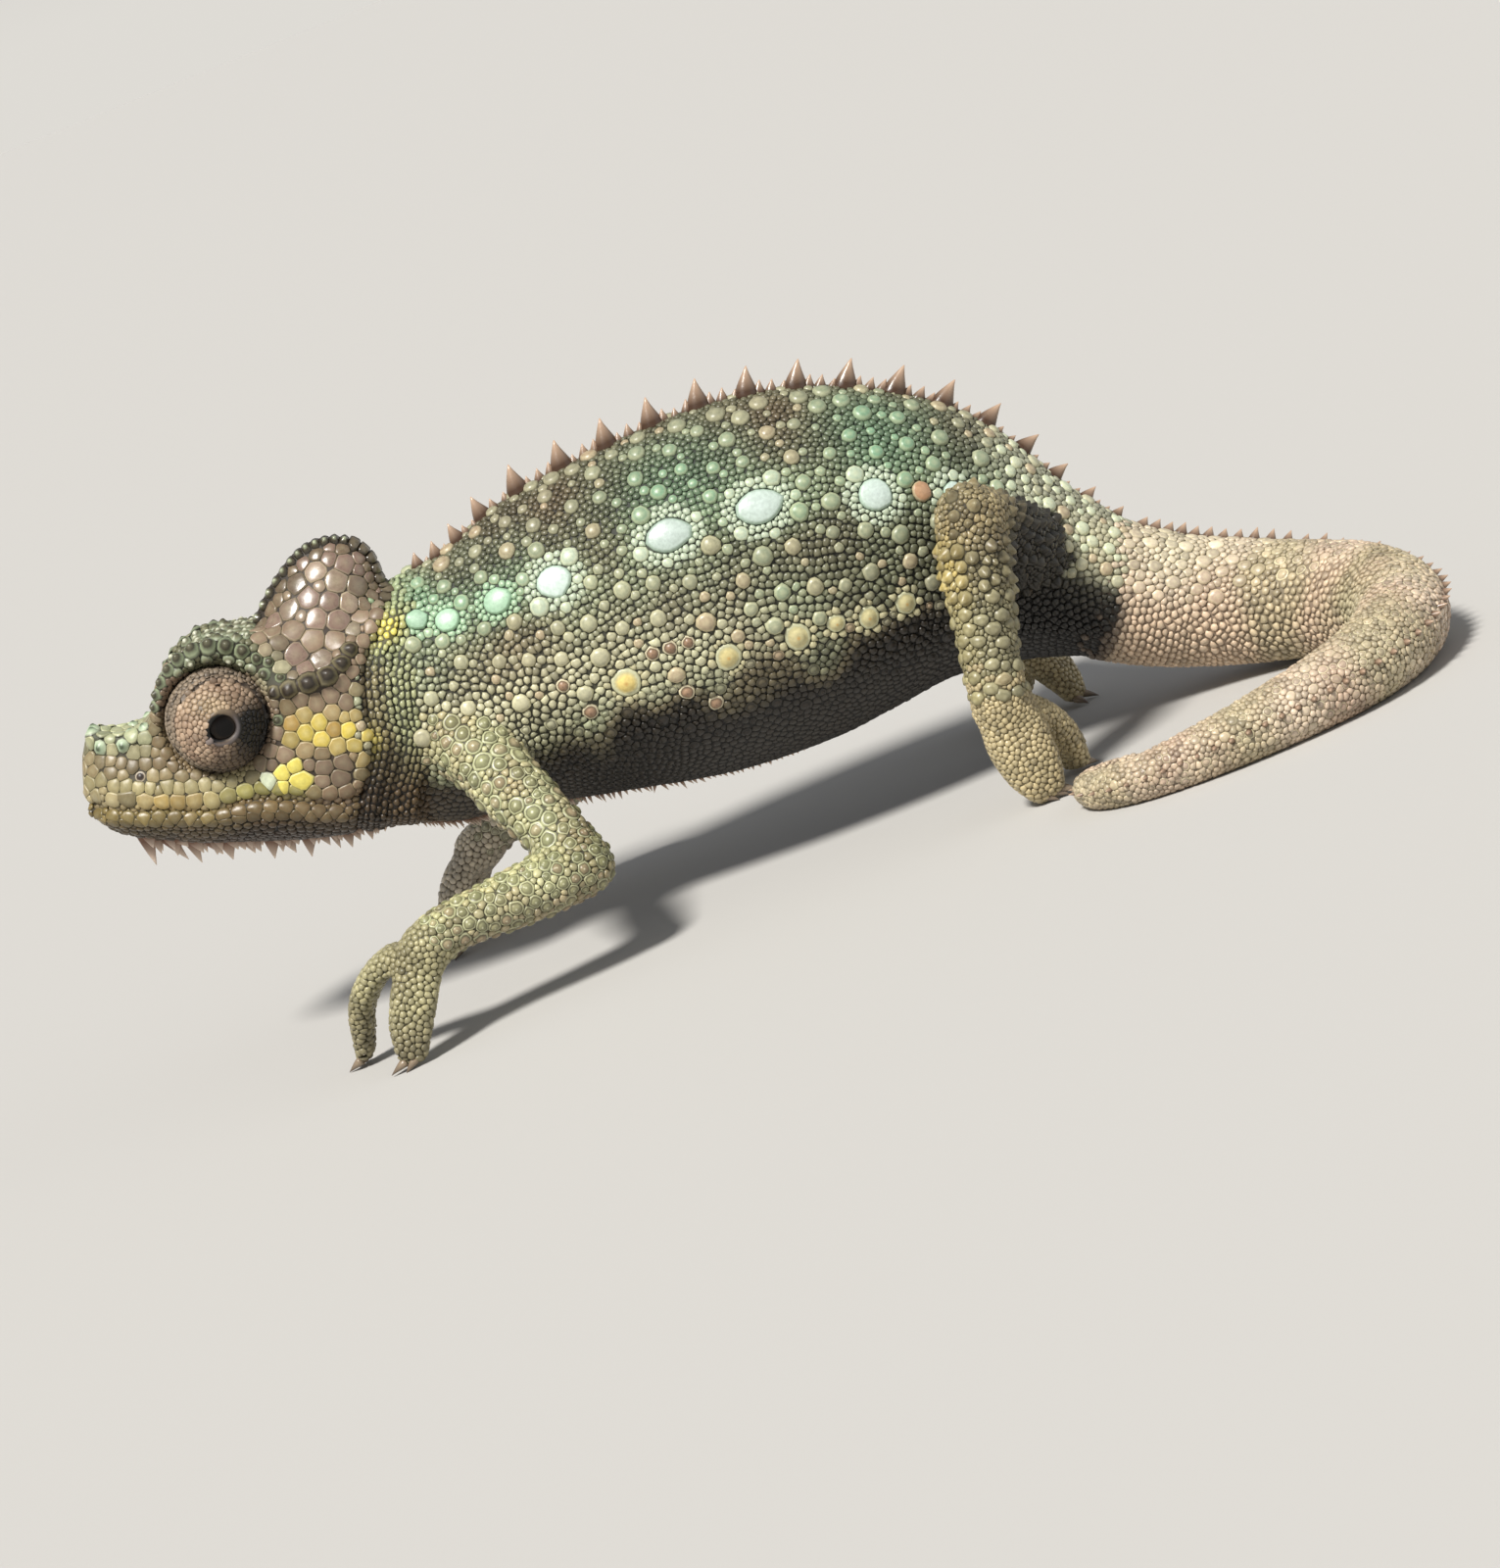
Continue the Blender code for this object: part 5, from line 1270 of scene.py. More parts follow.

# %% [markdown]
# A scale's edge sinks into a groove that is painted dark, a painted shade; its top and rim are painted
# lighter, partly their own paler tone and partly a painted highlight; and some have a centre of another
# colour: brown in the ringed ones, orange in the yellow ovals, black in the brow's cones.


# %% Colours of each scale
def scale_colours(scales, body):
    """The colours of each scale from its groove to its top."""
    base = pattern(body)
    count = len(base)
    big, plate, ringed = (scales.kind > 0), scales.kind == 2, scales.kind == 3
    base = base * np.clip(1 + draw.normal(0, 0.14, count), 0.6, 1.5)[:, None]
    pick = draw.rand(count)
    mint = clouds(body, MINT_CLOUDS)
    dome = big & body.trunk & (body.share < 0.62)
    base = mix(base, base * 0.82, ~big & body.trunk & (body.share < 0.5))
    base = mix(base, paint(174, 171, 144), 0.4 * dome)
    base = mix(base, paint(170, 140, 112), 0.55 * (dome & (pick < 0.3) & (mint < 0.3)))
    base = mix(base, paint(112, 160, 128), 0.8 * dome * mint)
    hip = big & body.trunk & (body.station > 7.1) & (body.share < 0.42) & (mottle(body.points, 2.6, 41) > 0.1)
    base = mix(base, paint(196, 208, 180), 0.7 * hip)
    base = mix(base, paint(126, 100, 92), 0.6 * (body.casque & (pick < 0.35)))
    base = mix(base, paint(152, 118, 62),
               0.85 * (plate & body.plated & (pick < 0.35) & (base[:, 2] < 0.22) & (base[:, 0] > 0.5)))
    stray = plate & (scales.tone == 0) & ~body.head & ~body.limb
    base = mix(base, np.where(body.up[:, None] > 3, paint(128, 112, 96), paint(122, 106, 76)), 0.9 * stray)
    # Painted shade: the grooves are painted darker than the scales, and darker still on the head.
    groove = base * painted_groove_shade(body)[:, None]
    groove[body.head] *= 0.8
    for name, reach in (("white", 1.05), ("mint_white", 0.65), ("yellow", 0.4)):
        halo = np.zeros(count)
        for n in np.flatnonzero(scales.tone == tone(name)):
            off = scales.place - scales.place[n]
            distance = np.linalg.norm(off, axis=1)
            edge = scales.radius[n] * girth(scales.stretch[n],
                    off @ scales.long[n] / np.maximum(distance, 1e-6))
            halo = np.maximum(halo, ease(reach, reach * 0.6, distance - edge) * body.trunk)
        pale = paint(*dict(white=(178, 192, 170), mint_white=(156, 188, 156), yellow=(182, 176, 140))[name])
        base = mix(base, pale, 0.9 * halo * (scales.tone == 0))
        groove = mix(groove, pale * 0.55, 0.85 * halo * (scales.tone == 0))
        scales.height = scales.height * (1 - 0.35 * halo * (scales.tone == 0))
    # The lighter tops and rims are partly the scales' own paler tone and partly a painted highlight.
    cream_and_highlight = paint(226, 220, 180) * np.clip(base.mean(1) / 0.25, 0.08, 1.15)[:, None]
    top = mix(base, cream_and_highlight, np.where(big, 0.24, 0.18))
    rim = mix(base, cream_and_highlight, np.where(plate, 0.26, np.where(big, 0.24, 0.12)))
    ring = base * 0.42
    on_arm = ringed & body.limb
    rim[on_arm] = mix(base, paint(184, 190, 152), 0.5)[on_arm]
    ring[on_arm] = mix(base, paint(70, 68, 44), 0.8)[on_arm]
    base[on_arm] = mix(base, np.where((pick < 0.25)[:, None], paint(142, 122, 98), paint(118, 124, 88)),
                       0.55)[on_arm]
    # The pale dome of the arm's ringed scales is partly their own pale green and partly a painted highlight.
    top[on_arm] = mix(base, paint(226, 224, 190), 0.7)[on_arm]
    on_tail = ringed & body.tail
    ring[on_tail], rim[on_tail] = (base * 0.7)[on_tail], mix(base, cream_and_highlight, 0.4)[on_tail]
    pointed = (scales.kind == 4) & body.crown & (scales.tone == 0)
    rim[pointed] = mix(base, paint(160, 170, 142), 0.7)[pointed]
    top[pointed] = np.where((pick < 0.65)[:, None], paint(206, 208, 184), paint(58, 56, 44))[pointed]
    low_rings = ringed & body.trunk & (scales.tone == 0)
    top[low_rings], rim[low_rings] = base[low_rings] * 0.7, mix(base, cream_and_highlight, 0.14)[low_rings]

    def set_tone(name, body_colour, top_colour, rim_colour, groove_colour=(60, 50, 40), ring_colour=None):
        chosen = scales.tone == tone(name)
        vary = 1 + draw.normal(0, 0.06, count)[chosen, None]
        values = (body_colour, top_colour, rim_colour, groove_colour, ring_colour or rim_colour)
        for target, value in zip((base, top, rim, groove, ring), values):
            target[chosen] = paint(*value) * vary

    set_tone("white", (190, 206, 196), (198, 212, 206), (172, 192, 176), (112, 124, 102))
    set_tone("mint_white", (164, 198, 168), (182, 210, 186), (150, 182, 152), (96, 116, 92))
    set_tone("yellow", (218, 196, 122), (194, 152, 84), (194, 194, 160), (112, 110, 88), (200, 192, 144))
    set_tone("brown_centre", (150, 122, 98), (116, 92, 76), (206, 196, 166), (60, 50, 40), (110, 92, 72))
    set_tone("tan", (172, 134, 102), (184, 148, 116), (178, 162, 130), (96, 92, 68))
    set_tone("thorn", (58, 54, 40), (92, 90, 70), (140, 150, 120), (38, 32, 24))
    set_tone("knob", (46, 38, 30), (66, 58, 48), (116, 108, 82), (26, 22, 18))
    set_tone("mint", (164, 182, 152), (80, 92, 70), (188, 200, 172))
    # Painted shade: the nostril's near-black middle stands for the dark of its opening.
    set_tone("pit", (54, 44, 38), (20, 16, 14), (168, 156, 134), (60, 50, 40), (96, 84, 70))
    # The light tops of the casque's front rim cones are partly their own mint and partly a painted highlight.
    set_tone("rim", (72, 66, 48), (152, 158, 130), (46, 40, 30), (22, 18, 14))
    base = mix(base, paint(190, 188, 152),
               0.7 * (scales.tone == tone("yellow")) * ease(3.3, 5.0, body.station))
    set_tone("dark_rim", (92, 82, 64), (112, 102, 82), (62, 54, 42), (22, 18, 14))
    set_tone("cheek_yellow", (218, 202, 94), (224, 212, 112), (226, 216, 136), (104, 86, 44))
    set_tone("cheek_white", (200, 208, 176), (208, 216, 190), (216, 220, 196), (110, 104, 80))
    scales.colours = dict(groove=groove, rim=rim, ring=ring, base=base, top=top)


scale_colours(seeds, body)
print("colours from", seeds.colours["base"].min().round(3), "to", seeds.colours["base"].max().round(3))

# %% [markdown]
# ## The shape of each scale
# The edge of a scale lies half way to its neighbours, weighed by their sizes. It rises in a few rings to its
# top: low for the pavement, domed, ringed on the arms, pointed on the shins.


# %% Outlines
def frames_at(way):
    """Two directions in the surface at each normal."""
    guide = np.where(np.abs(way[:, 2:3]) > 0.9, np.array((1.0, 0, 0)), np.array((0, 0, 1.0)))
    first = unit(np.cross(guide, way))
    return first, np.cross(way, first)


GAP, NARROWEST = -0.01, 0.35
CAPS = dict(granule=1.75, bead=1.14, plate=1.7, ringed=1.14, cone=1.24)


def outlines(scales, chosen, kind):
    """How far each scale's edge is in each of its directions."""
    sides = KINDS[kind][0]
    first, second = frames_at(scales.way[chosen])
    beside = scales.beside[chosen]
    ways, distance, own, other = reaches(scales, chosen, beside)
    border = (distance**2 + own**2 - other**2) / (2 * distance)
    border = np.maximum(border, 0.4 * own)
    creased = (scales.row[chosen][:, None] != scales.row[beside]) & (own < LARGE) & (other < LARGE)
    border -= np.where(creased, scales.crease[chosen][:, None], 0) / 2 + GAP / 2
    turn = full_turn(sides)
    spokes = spokes_of(first, second, turn)
    lean = (spokes[:, None] * ways[:, :, None]).sum(3)
    edge = np.where(lean > 0.15, border[..., None] / np.maximum(lean, 0.15), 9.0).min(1)
    most = scales.radius[chosen][:, None] * girth(scales.stretch[chosen][:, None],
            (spokes * scales.long[chosen][:, None]).sum(2))
    cap = scales.cap[chosen][:, None] * CAPS[kind]
    return np.clip(edge, NARROWEST * most, cap * most), spokes, turn

# %% Scale heights
granular = seeds.kind == 0
flat = np.where(body.trunk, ease(0.74, 0.66, body.share) * 0.65 + 0.35, 1.0) * np.where(body.head, 0.7, 1.0)
seeds.height[granular] = (seeds.radius * flat * (0.68 + 0.16 * draw.rand(len(seeds.radius))))[granular]
seeds.height[~granular & body.tail] *= 0.7
close_set = (body.limb | body.tail) & ~granular
seeds.cap = np.where(close_set, np.where(body.hind & body.limb, 1.4, 1.22), 1.0)
seeds.cap[body.trunk & (seeds.kind == 2) & (seeds.tone > 0)] = 0.68
seeds.height[~granular & body.limb & body.hind] *= 1.25
seeds.tilt = np.zeros_like(seeds.place)
LEANS = [
    (body.limb & body.hind & body.lower, body.limb_way, 0.45),
    (body.limb & ~body.hind, body.limb_way, 0.12),
    (body.tail, TAIL_WAYS[body.tail_index], 0.3),
    (body.crown, -unit(head_way(1, 0, -1)), 0.15),
]
for where, way, share in LEANS:
    seeds.tilt[where] = np.broadcast_to(way, seeds.tilt.shape)[where] * share


def to_metres(points):
    return (points - ORIGIN) * MM


def mesh_from(name, points, faces, colours=None):
    """A smooth object in metres from points and arrays of faces."""
    mesh = bpy.data.meshes.new(name)
    mesh.vertices.add(len(points))
    mesh.vertices.foreach_set("co", to_metres(points).ravel())
    sizes = np.concatenate([np.full(len(f), f.shape[1]) for f in faces])
    mesh.loops.add(int(sizes.sum()))
    mesh.loops.foreach_set("vertex_index", np.concatenate([f.ravel() for f in faces]))
    mesh.polygons.add(len(sizes))
    mesh.polygons.foreach_set("loop_start", np.concatenate([[0], np.cumsum(sizes)[:-1]]))
    mesh.update(calc_edges=True)
    mesh.validate()
    mesh.polygons.foreach_set("use_smooth", np.full(len(sizes), True))
    if colours is not None:
        layer = mesh.color_attributes.new("tint", "FLOAT_COLOR", "POINT")
        layer.data.foreach_set("color", np.column_stack([colours, np.ones(len(colours))]).ravel())
    return add_object(name, mesh)

# %% Build the scales
PATCH = 0.0015


def scale_arrays(scales, chosen, kind, tree):
    """Points, faces, colours and chart places of scales of one kind."""
    sides, profile = KINDS[kind]
    edge, spokes, turn = outlines(scales, chosen, kind)
    p, n = scales.place[chosen][:, None], scales.way[chosen][:, None]
    radius = scales.radius[chosen][:, None, None]
    outer = p + spokes * edge[..., None]
    drop = np.zeros(outer.shape[:2] + (1,)) - 0.08 * radius
    if kind != "granule":
        landed = np.array([tree.find_nearest(v)[0] for v in outer.reshape(-1, 3)]).reshape(outer.shape)
        drop = np.clip(((landed - p) * n).sum(2, keepdims=True), -0.6 * radius, 0.2 * radius)
    rise, tilt = scales.height[chosen][:, None, None], scales.tilt[chosen][:, None] * radius
    place = scales.chart[chosen]
    points, colours, charts = [], [], []
    for share, lift, role in profile:
        ring = p + (outer - p) * share + n * (drop * share**2 + rise * lift) + tilt * max(lift, 0)
        swing = np.stack([np.cos(turn), np.sin(turn)], -1) * PATCH * share
        if share == 0:
            ring, swing = ring[:, :1], swing[:1]
        points.append(ring)
        colours.append(np.broadcast_to(scales.colours[role][chosen][:, None], ring.shape))
        charts.append(place[:, None] + swing[None])
    rings = len(profile) - 1
    start = (np.arange(len(chosen)) * (rings * sides + 1))[:, None]
    k, k2 = np.arange(sides), (np.arange(sides) + 1) % sides
    quads = []
    for ring in range(rings - 1):
        a, d = start + ring * sides, start + (ring + 1) * sides
        quads.append(np.stack([a + k, a + k2, d + k2, d + k], -1).reshape(-1, 4))
    a = start + (rings - 1) * sides
    fans = np.stack([a + k, a + k2, start + rings * sides + k * 0], -1).reshape(-1, 3)
    stack = [np.concatenate(k, axis=1).reshape(-1, w) for k, w in ((points, 3), (colours, 3), (charts, 2))]
    return stack[0], np.vstack(quads), fans, stack[1], stack[2]


def scale_piece(name, scales, chosen, tree):
    """One object of the chosen scales, with colours and chart."""
    made, count = [], 0
    for number, kind in enumerate(KIND_NAMES):
        some = chosen[scales.kind[chosen] == number]
        if len(some):
            p, q, f, c, uv = scale_arrays(scales, some, kind, tree)
            made.append((p, q + count, f + count, c, uv))
            count += len(p)
    points, quads, fans, colours, charts = (np.vstack(k) for k in zip(*made))
    points[:, 2] = np.maximum(points[:, 2], 0.02)
    faces = [quads, fans]
    made = mesh_from(name, points, faces, colours)
    layer = made.data.uv_layers.new(name="OFBake")
    corner = np.zeros(len(made.data.loops), int)
    made.data.loops.foreach_get("vertex_index", corner)
    layer.data.foreach_set("uv", charts[corner].ravel())
    print(name, len(chosen), "scales,", 2 * len(faces[0]) + len(faces[1]), "triangles")
    return made


def chart_of(body):
    """Each point's place on an unwrap of its part of the body."""
    front = body.head | body.neck
    u = np.where(front, (body.forward + 13.5) / 23.5, 0)
    v = np.where(front, np.arctan2(body.side, body.up + 1.5) / (2 * np.pi) + 0.5, 0)
    u = np.where(body.trunk, (body.station + 0.1) / 9.3, u)
    v = np.where(body.trunk, 0.5 + np.sign(body.side) * body.share * 0.48, v)
    u = np.where(body.tail, (body.at + 1) / 64.5, u)
    v = np.where(body.tail, body.angle / (2 * np.pi) + 0.5, v)
    lower = body.limb | body.foot
    number = (body.labels - 4) // 3
    ring = np.arctan2(body.normal[:, 1], body.normal[:, 0] + 0.3 * body.normal[:, 2])
    long_way = np.where(body.foot, 24 + (9 - body.points[:, 2]), body.along)
    u = np.where(lower, (number + np.clip(long_way, 0, 34) / 36) / 4.02, u)
    v = np.where(lower, ring / (2 * np.pi) + 0.5, v)
    return np.column_stack([np.clip(u, 0.004, 0.996), np.clip(v, 0.004, 0.996)])


seeds.chart = chart_of(body)
left = body.points[:, 1] < 0
pieces = {
    "scales_head": body.head & ~body.casque & (body.mouth >= 0),
    "scales_jaw": body.head & ~body.casque & (body.mouth < 0),
    "scales_casque": body.casque,
    "scales_neck": body.neck | body.trunk & (body.station < 2),
    "scales_tail_root": body.tail & (body.at < 22),
    "scales_tail_end": body.tail & (body.at >= 22),
    "scales_arms": body.limb & ~body.hind,
    "scales_hind_legs": body.limb & body.hind,
    "scales_forefeet": body.foot & ~body.hind,
    "scales_hindfeet": body.foot & body.hind,
    "scales_hips": body.trunk & (body.station > 7),
}
middle_trunk = body.trunk & (body.station >= 2) & (body.station <= 7)
for word, half in (("left", left), ("right", ~left)):
    pieces[f"scales_back_{word}"] = middle_trunk & half & (body.share < 0.42)
    pieces[f"scales_belly_{word}"] = middle_trunk & half & (body.share >= 0.42)
coats = {name: scale_piece(name, seeds, np.flatnonzero(where), skin_tree) for name, where in pieces.items()}

# %% [markdown]
# ## The skin's own mesh
# What shows of it between the scales is their grooves, painted in a darker tone of the same pattern as
# painted shade.

# %% Skin object
skin_body = Body(skin_points, skin_labels, normals)
# Painted shade: the skin between the scales is painted darker than the pattern.
skin_colours = pattern(skin_body) * (0.8 * painted_groove_shade(skin_body))[:, None]
skin_mesh.vertices.foreach_set("co", to_metres(skin_points).ravel())
skin_mesh.update()
skin_mesh.polygons.foreach_set("use_smooth", np.full(len(skin_mesh.polygons), True))
layer = skin_mesh.color_attributes.new("tint", "FLOAT_COLOR", "POINT")
layer.data.foreach_set("color", np.column_stack([skin_colours, np.ones(len(skin_colours))]).ravel())
skin = add_object("skin", skin_mesh)
skin_mesh.materials.clear()

# %% [markdown]
# ## The eyes
# A chameleon's eye sits in a turret, a cone of lid skin. Each is turned about its gaze like a bowl on a
# lathe, with a swollen lip, folds where the lid creases, and fine granules in rings.


# %% Turrets
OPENING_FRONT, OPENING_REAR = 0.94, 0.84
CREASES = ((0.99, 0.24, 0.045), (1.19, 0.2, 0.045), (1.38, 0.16, 0.05))


def folded(slant, round_angle):
    """How deep the lid's folds are: three creases, the outer one all round."""
    total = 0
    for k, (at, deep, wide) in enumerate(CREASES):
        weight = ease(-0.4, 0.5, np.cos(round_angle - 2.2 - 0.25 * k)) if k < 2 else 1.0
        total = total + deep * weight * near(slant, at + 0.03 * np.sin(3 * round_angle + k), wide)
    return total


def lid_reach(round_angle):
    """How far the opening reaches: an almond with its corner low in front."""
    corner = np.maximum(0, np.cos(round_angle + math.radians(35))) ** 4
    return OPENING_REAR + (OPENING_FRONT + 0.12 - OPENING_REAR) * corner


def turret_points(side, slant, round_angle):
    """A turret's surface at a slant from its gaze and an angle round it."""
    centre, gaze, across, up = turret_axes(side)
    forward_way = -across if across @ head_way(1, 0, 0) < 0 else across
    slant, round_angle = np.broadcast_arrays(slant, round_angle)
    opening = np.arcsin(lid_reach(round_angle) / TURRET_RADIUS)
    fold = folded(slant, round_angle) - 0.07 * near(slant, 1.09, 0.06) - 0.07 * near(slant, 1.29, 0.06)
    lip = 0.1 * near(slant, opening + 0.06, 0.05)
    radius = TURRET_RADIUS - 0.08 + lip - fold
    inward = ease(opening, opening - 0.12, slant)
    out = np.cos(slant) * (TURRET_STRETCH * radius) - 0.8 * inward
    ring_way = forward_way * np.cos(round_angle)[..., None] + up * np.sin(round_angle)[..., None]
    return centre + gaze * out[..., None] + ring_way * (np.sin(slant) * radius)[..., None]


SIDES = ((-1, "left"), (1, "right"))
TURRET_SIDES, TURRET_RINGS, TURRET_END = 80, 60, 1.98
turrets = {}
for side, word in SIDES:
    turn = full_turn(TURRET_SIDES)
    start = np.arcsin(lid_reach(turn) / TURRET_RADIUS) - 0.14
    rings = np.array([turret_points(side, start + (TURRET_END - start) * t**1.15, turn)
                      for t in np.linspace(0, 1, TURRET_RINGS)])
    quads = ring_walls(TURRET_RINGS, TURRET_SIDES)[2]
    turrets[word] = (rings.reshape(-1, 3), quads[:, ::-1] if side < 0 else quads)
print("turret points", len(turrets["left"][0]))

# %% Turret scales
def turret_pattern(side, points):
    """Warm brown, lighter in front, with painted shade: darker below and in the folds, near-black on the
    opening's inner edge, and behind the opening its own dark band deepened to near-black.
    """
    centre, gaze, across, up = turret_axes(side)
    off = points - centre
    ahead_of, above = off @ head_way(1, 0, 0) + 0.3, off @ up
    rim_of = np.sqrt(ahead_of**2 + above**2)
    slant = np.arcsin(np.clip(rim_of / TURRET_RADIUS, 0, 1))
    inner = ease(0.06, -0.02, rim_of - lid_reach(np.arctan2(above, ahead_of)))
    return layered((166, 142, 118),
        ((134, 110, 90), 0.4 + 0.5 * mottle(points, 1.4, 31)),
        ((164, 148, 104), 0.35 * near(above, 1.3, 0.7) * near(ahead_of, 0.6, 1.3)),
        ((122, 110, 94), 0.85 * ease(2.6, 3.1, rim_of)),
        # Painted shade: darker towards the bottom of the turret.
        ((62, 50, 40), 0.8 * ease(-1.0, -2.6, above + 0.6 * ahead_of)),
        # Painted shade in the lid's folds.
        ((52, 44, 38), 3.2 * folded(slant, np.arctan2(above, ahead_of))),
        # Behind the opening: the turret's own dark band, deepened to near-black as painted shade.
        ((8, 6, 6), 1.9 * near(ahead_of, -1.8, 1.0) * near(above, -0.2, 1.3)),
        ((16, 12, 10), 1.3 * near(ahead_of, -2.4, 0.95) * near(above, -0.9, 1.7)),
        ((140, 130, 130), 0.9 * near(rim_of, 1.06, 0.1) * ease(0.4, -0.4, above + 0.8 * ahead_of)),
        # Painted shade: near-black on the inner edge of the opening.
        ((12, 10, 10), inner),
    )


RING_PITCH = 0.36
for side, word in SIDES:
    points, quads = turrets[word]
    # Painted shade: the lid skin under the granules is painted darker than them.
    piece = mesh_from(f"turret_{word}", points, [quads], turret_pattern(side, points) * 0.45)
    lids, tree = Scales(), BVHTree.FromPolygons(points.tolist(), quads.tolist())
    slant = 0.4
    while slant < 1.62:
        pitch = RING_PITCH * (0.75 if slant < 0.5 or slant > 1.05 else 1.0)
        count = int(2 * np.pi * math.sin(slant) * TURRET_RADIUS / (pitch * 1.1))
        angles = (np.arange(count) + draw.rand()) / count * 2 * np.pi + draw.normal(0, 1.1, count) / count
        place = turret_points(side, slant + draw.normal(0, 0.018, count), angles)
        lids.add(place, pitch / 2 * draw.uniform(0.7, 1.35, count), "granule", pitch * 0.24)
        slant += pitch / TURRET_RADIUS
    found = [tree.find_nearest(p) for p in lids.place]
    way = np.array([f[1] for f in found])
    off = lids.place - turret_axes(side)[0]
    lids.way = way * np.sign((off * way).sum(1))[:, None]
    lids.crease = lids.row = np.zeros(len(off))
    lids.cap, lids.tilt = np.ones(len(off)), np.zeros_like(off)
    lids.beside = neighbours(lids.place, lids.radius)
    colour = turret_pattern(side, lids.place) * draw.normal(1, 0.1, len(off)).clip(0.6, 1.4)[:, None]
    # Painted highlight: lighter tops on the lid granules, lighter still on about one in five.
    light = paint(226, 206, 182) * np.clip(colour.mean(1) / 0.25, 0.05, 1.1)[:, None]
    top = mix(colour, light, 0.14 + 0.22 * (draw.rand(len(off)) < 0.2))
    # Painted shade: the grooves of the lid granules are painted darker.
    lids.colours = dict(groove=colour * 0.4, rim=colour, ring=colour, base=colour, top=top)
    around = np.arctan2(off @ turret_axes(side)[3], off @ turret_axes(side)[2])
    outness = np.arccos(np.clip(unit(off) @ turret_axes(side)[1], -1, 1)) / 2
    lids.chart = 0.5 + 0.48 * np.column_stack([outness * np.cos(around), outness * np.sin(around)])
    coats[f"scales_turret_{word}"] = scale_piece(f"scales_turret_{word}", lids, np.arange(len(off)), tree)
    turrets[word] = piece

# %% [markdown]
# The eye itself is a dark ball with a thin golden-brown ring round its pupil, wet and glossy.

# %% Eyeballs
EYEBALL, EYE_SIDES = 2.1, 40
eyes = {}
for side, word in SIDES:
    centre, gaze, across, up = turret_axes(side)
    middle = centre + gaze * (TURRET_RADIUS * TURRET_STRETCH - 0.22 - EYEBALL)
    lift = np.linspace(0.0, 1.3, 22)[1:]
    turn = full_turn(EYE_SIDES)
    round_way = across * np.cos(turn)[:, None] + up * np.sin(turn)[:, None]
    rings = np.array([middle + (gaze * math.cos(a) + round_way * math.sin(a)) * EYEBALL for a in lift])
    index, following, quads = ring_walls(len(lift), EYE_SIDES, 1)
    fan = np.stack([np.zeros(EYE_SIDES, int), index[0], following[0]], -1)
    points = np.vstack([middle + gaze * EYEBALL, rings.reshape(-1, 3)])
    slant = np.concatenate([[0], np.repeat(lift, EYE_SIDES)])
    colour = mix(paint(10, 8, 8), paint(34, 24, 16), near(slant, 0.34, 0.05))
    if np.cross(across, up) @ gaze < 0:
        quads, fan = quads[:, ::-1], fan[:, ::-1]
    eyes[word] = mesh_from(f"eyeball_{word}", points, [quads, fan], colour)
print("eyeballs", len(eyes))

# %% [markdown]
# ## Crests and claws
# Geometry Nodes bend a cone and stand it on each of a row of points, scaled and turned by what they carry.


# %% Spine tree
def wire(tree, node, inputs):
    """Gives each input of a node a value or a link."""
    for key, value in inputs.items():
        if isinstance(value, bpy.types.NodeSocket):
            tree.links.new(value, node.inputs[key])
        else:
            node.inputs[key].default_value = value


def add_node(tree, kind, inputs=None, **settings):
    """The outputs of a new node."""
    made = tree.nodes.new(kind)
    for name, value in settings.items():
        setattr(made, name, value)
    wire(tree, made, inputs or {})
    return made.outputs


def spine_tree(name, finish):
    """A tree that stands a bent cone on every point of a mesh."""
    tree = bpy.data.node_groups.new(name, "GeometryNodeTree")
    face = tree.interface
    face.new_socket("Geometry", in_out="INPUT", socket_type="NodeSocketGeometry")
    for title, kind, value in (("Sides", "Int", 10), ("Segments", "Int", 6), ("Bend", "Float", 0.3),
            ("Swell", "Float", 0.5)):
        face.new_socket(title, in_out="INPUT", socket_type=f"NodeSocket{kind}").default_value = value
    face.new_socket("Geometry", in_out="OUTPUT", socket_type="NodeSocketGeometry")
    given = tree.nodes.new("NodeGroupInput").outputs

    def add(kind, inputs=None, **settings):
        return add_node(tree, f"GeometryNode{kind}", inputs, **settings)

    def times(a, b, operation="MULTIPLY"):
        return add_node(tree, "ShaderNodeMath", {0: a, 1: b}, operation=operation)[0]

    cone = add("MeshCone", {"Radius Top": 0.04, "Radius Bottom": 1.0, "Depth": 1.0,
                            "Vertices": given["Sides"],
                            "Side Segments": given["Segments"]}, fill_type="NGON")
    x, y, height = add_node(tree, "ShaderNodeSeparateXYZ", {0: add("InputPosition")[0]})
    fuller = times(times(height, times(1.0, height, "SUBTRACT")), given["Swell"])
    widen = times(1.0, times(fuller, 2.0), "ADD")
    lean = times(times(height, height), given["Bend"])
    bent = {0: times(times(x, widen), lean, "ADD"), 1: times(y, widen), 2: height}
    moved = add("SetPosition",
                {"Geometry": cone["Mesh"], "Position": add_node(tree, "ShaderNodeCombineXYZ", bent)[0]})
    keep = {"Name": "rise", "Geometry": moved[0], "Value": height}
    kept = add("StoreNamedAttribute", keep, data_type="FLOAT", domain="POINT")
    turn, size = (add("InputNamedAttribute", {"Name": title}, data_type="FLOAT_VECTOR")["Attribute"]
                  for title in ("turn", "size"))
    stood = add("InstanceOnPoints",
                {"Points": given["Geometry"], "Instance": kept[0], "Rotation": turn, "Scale": size})
    dressed = add("SetMaterial", {"Material": finish, "Geometry": add("RealizeInstances", {0: stood[0]})[0]})
    wire(tree, tree.nodes.new("NodeGroupOutput"), {"Geometry": dressed[0]})
    return tree


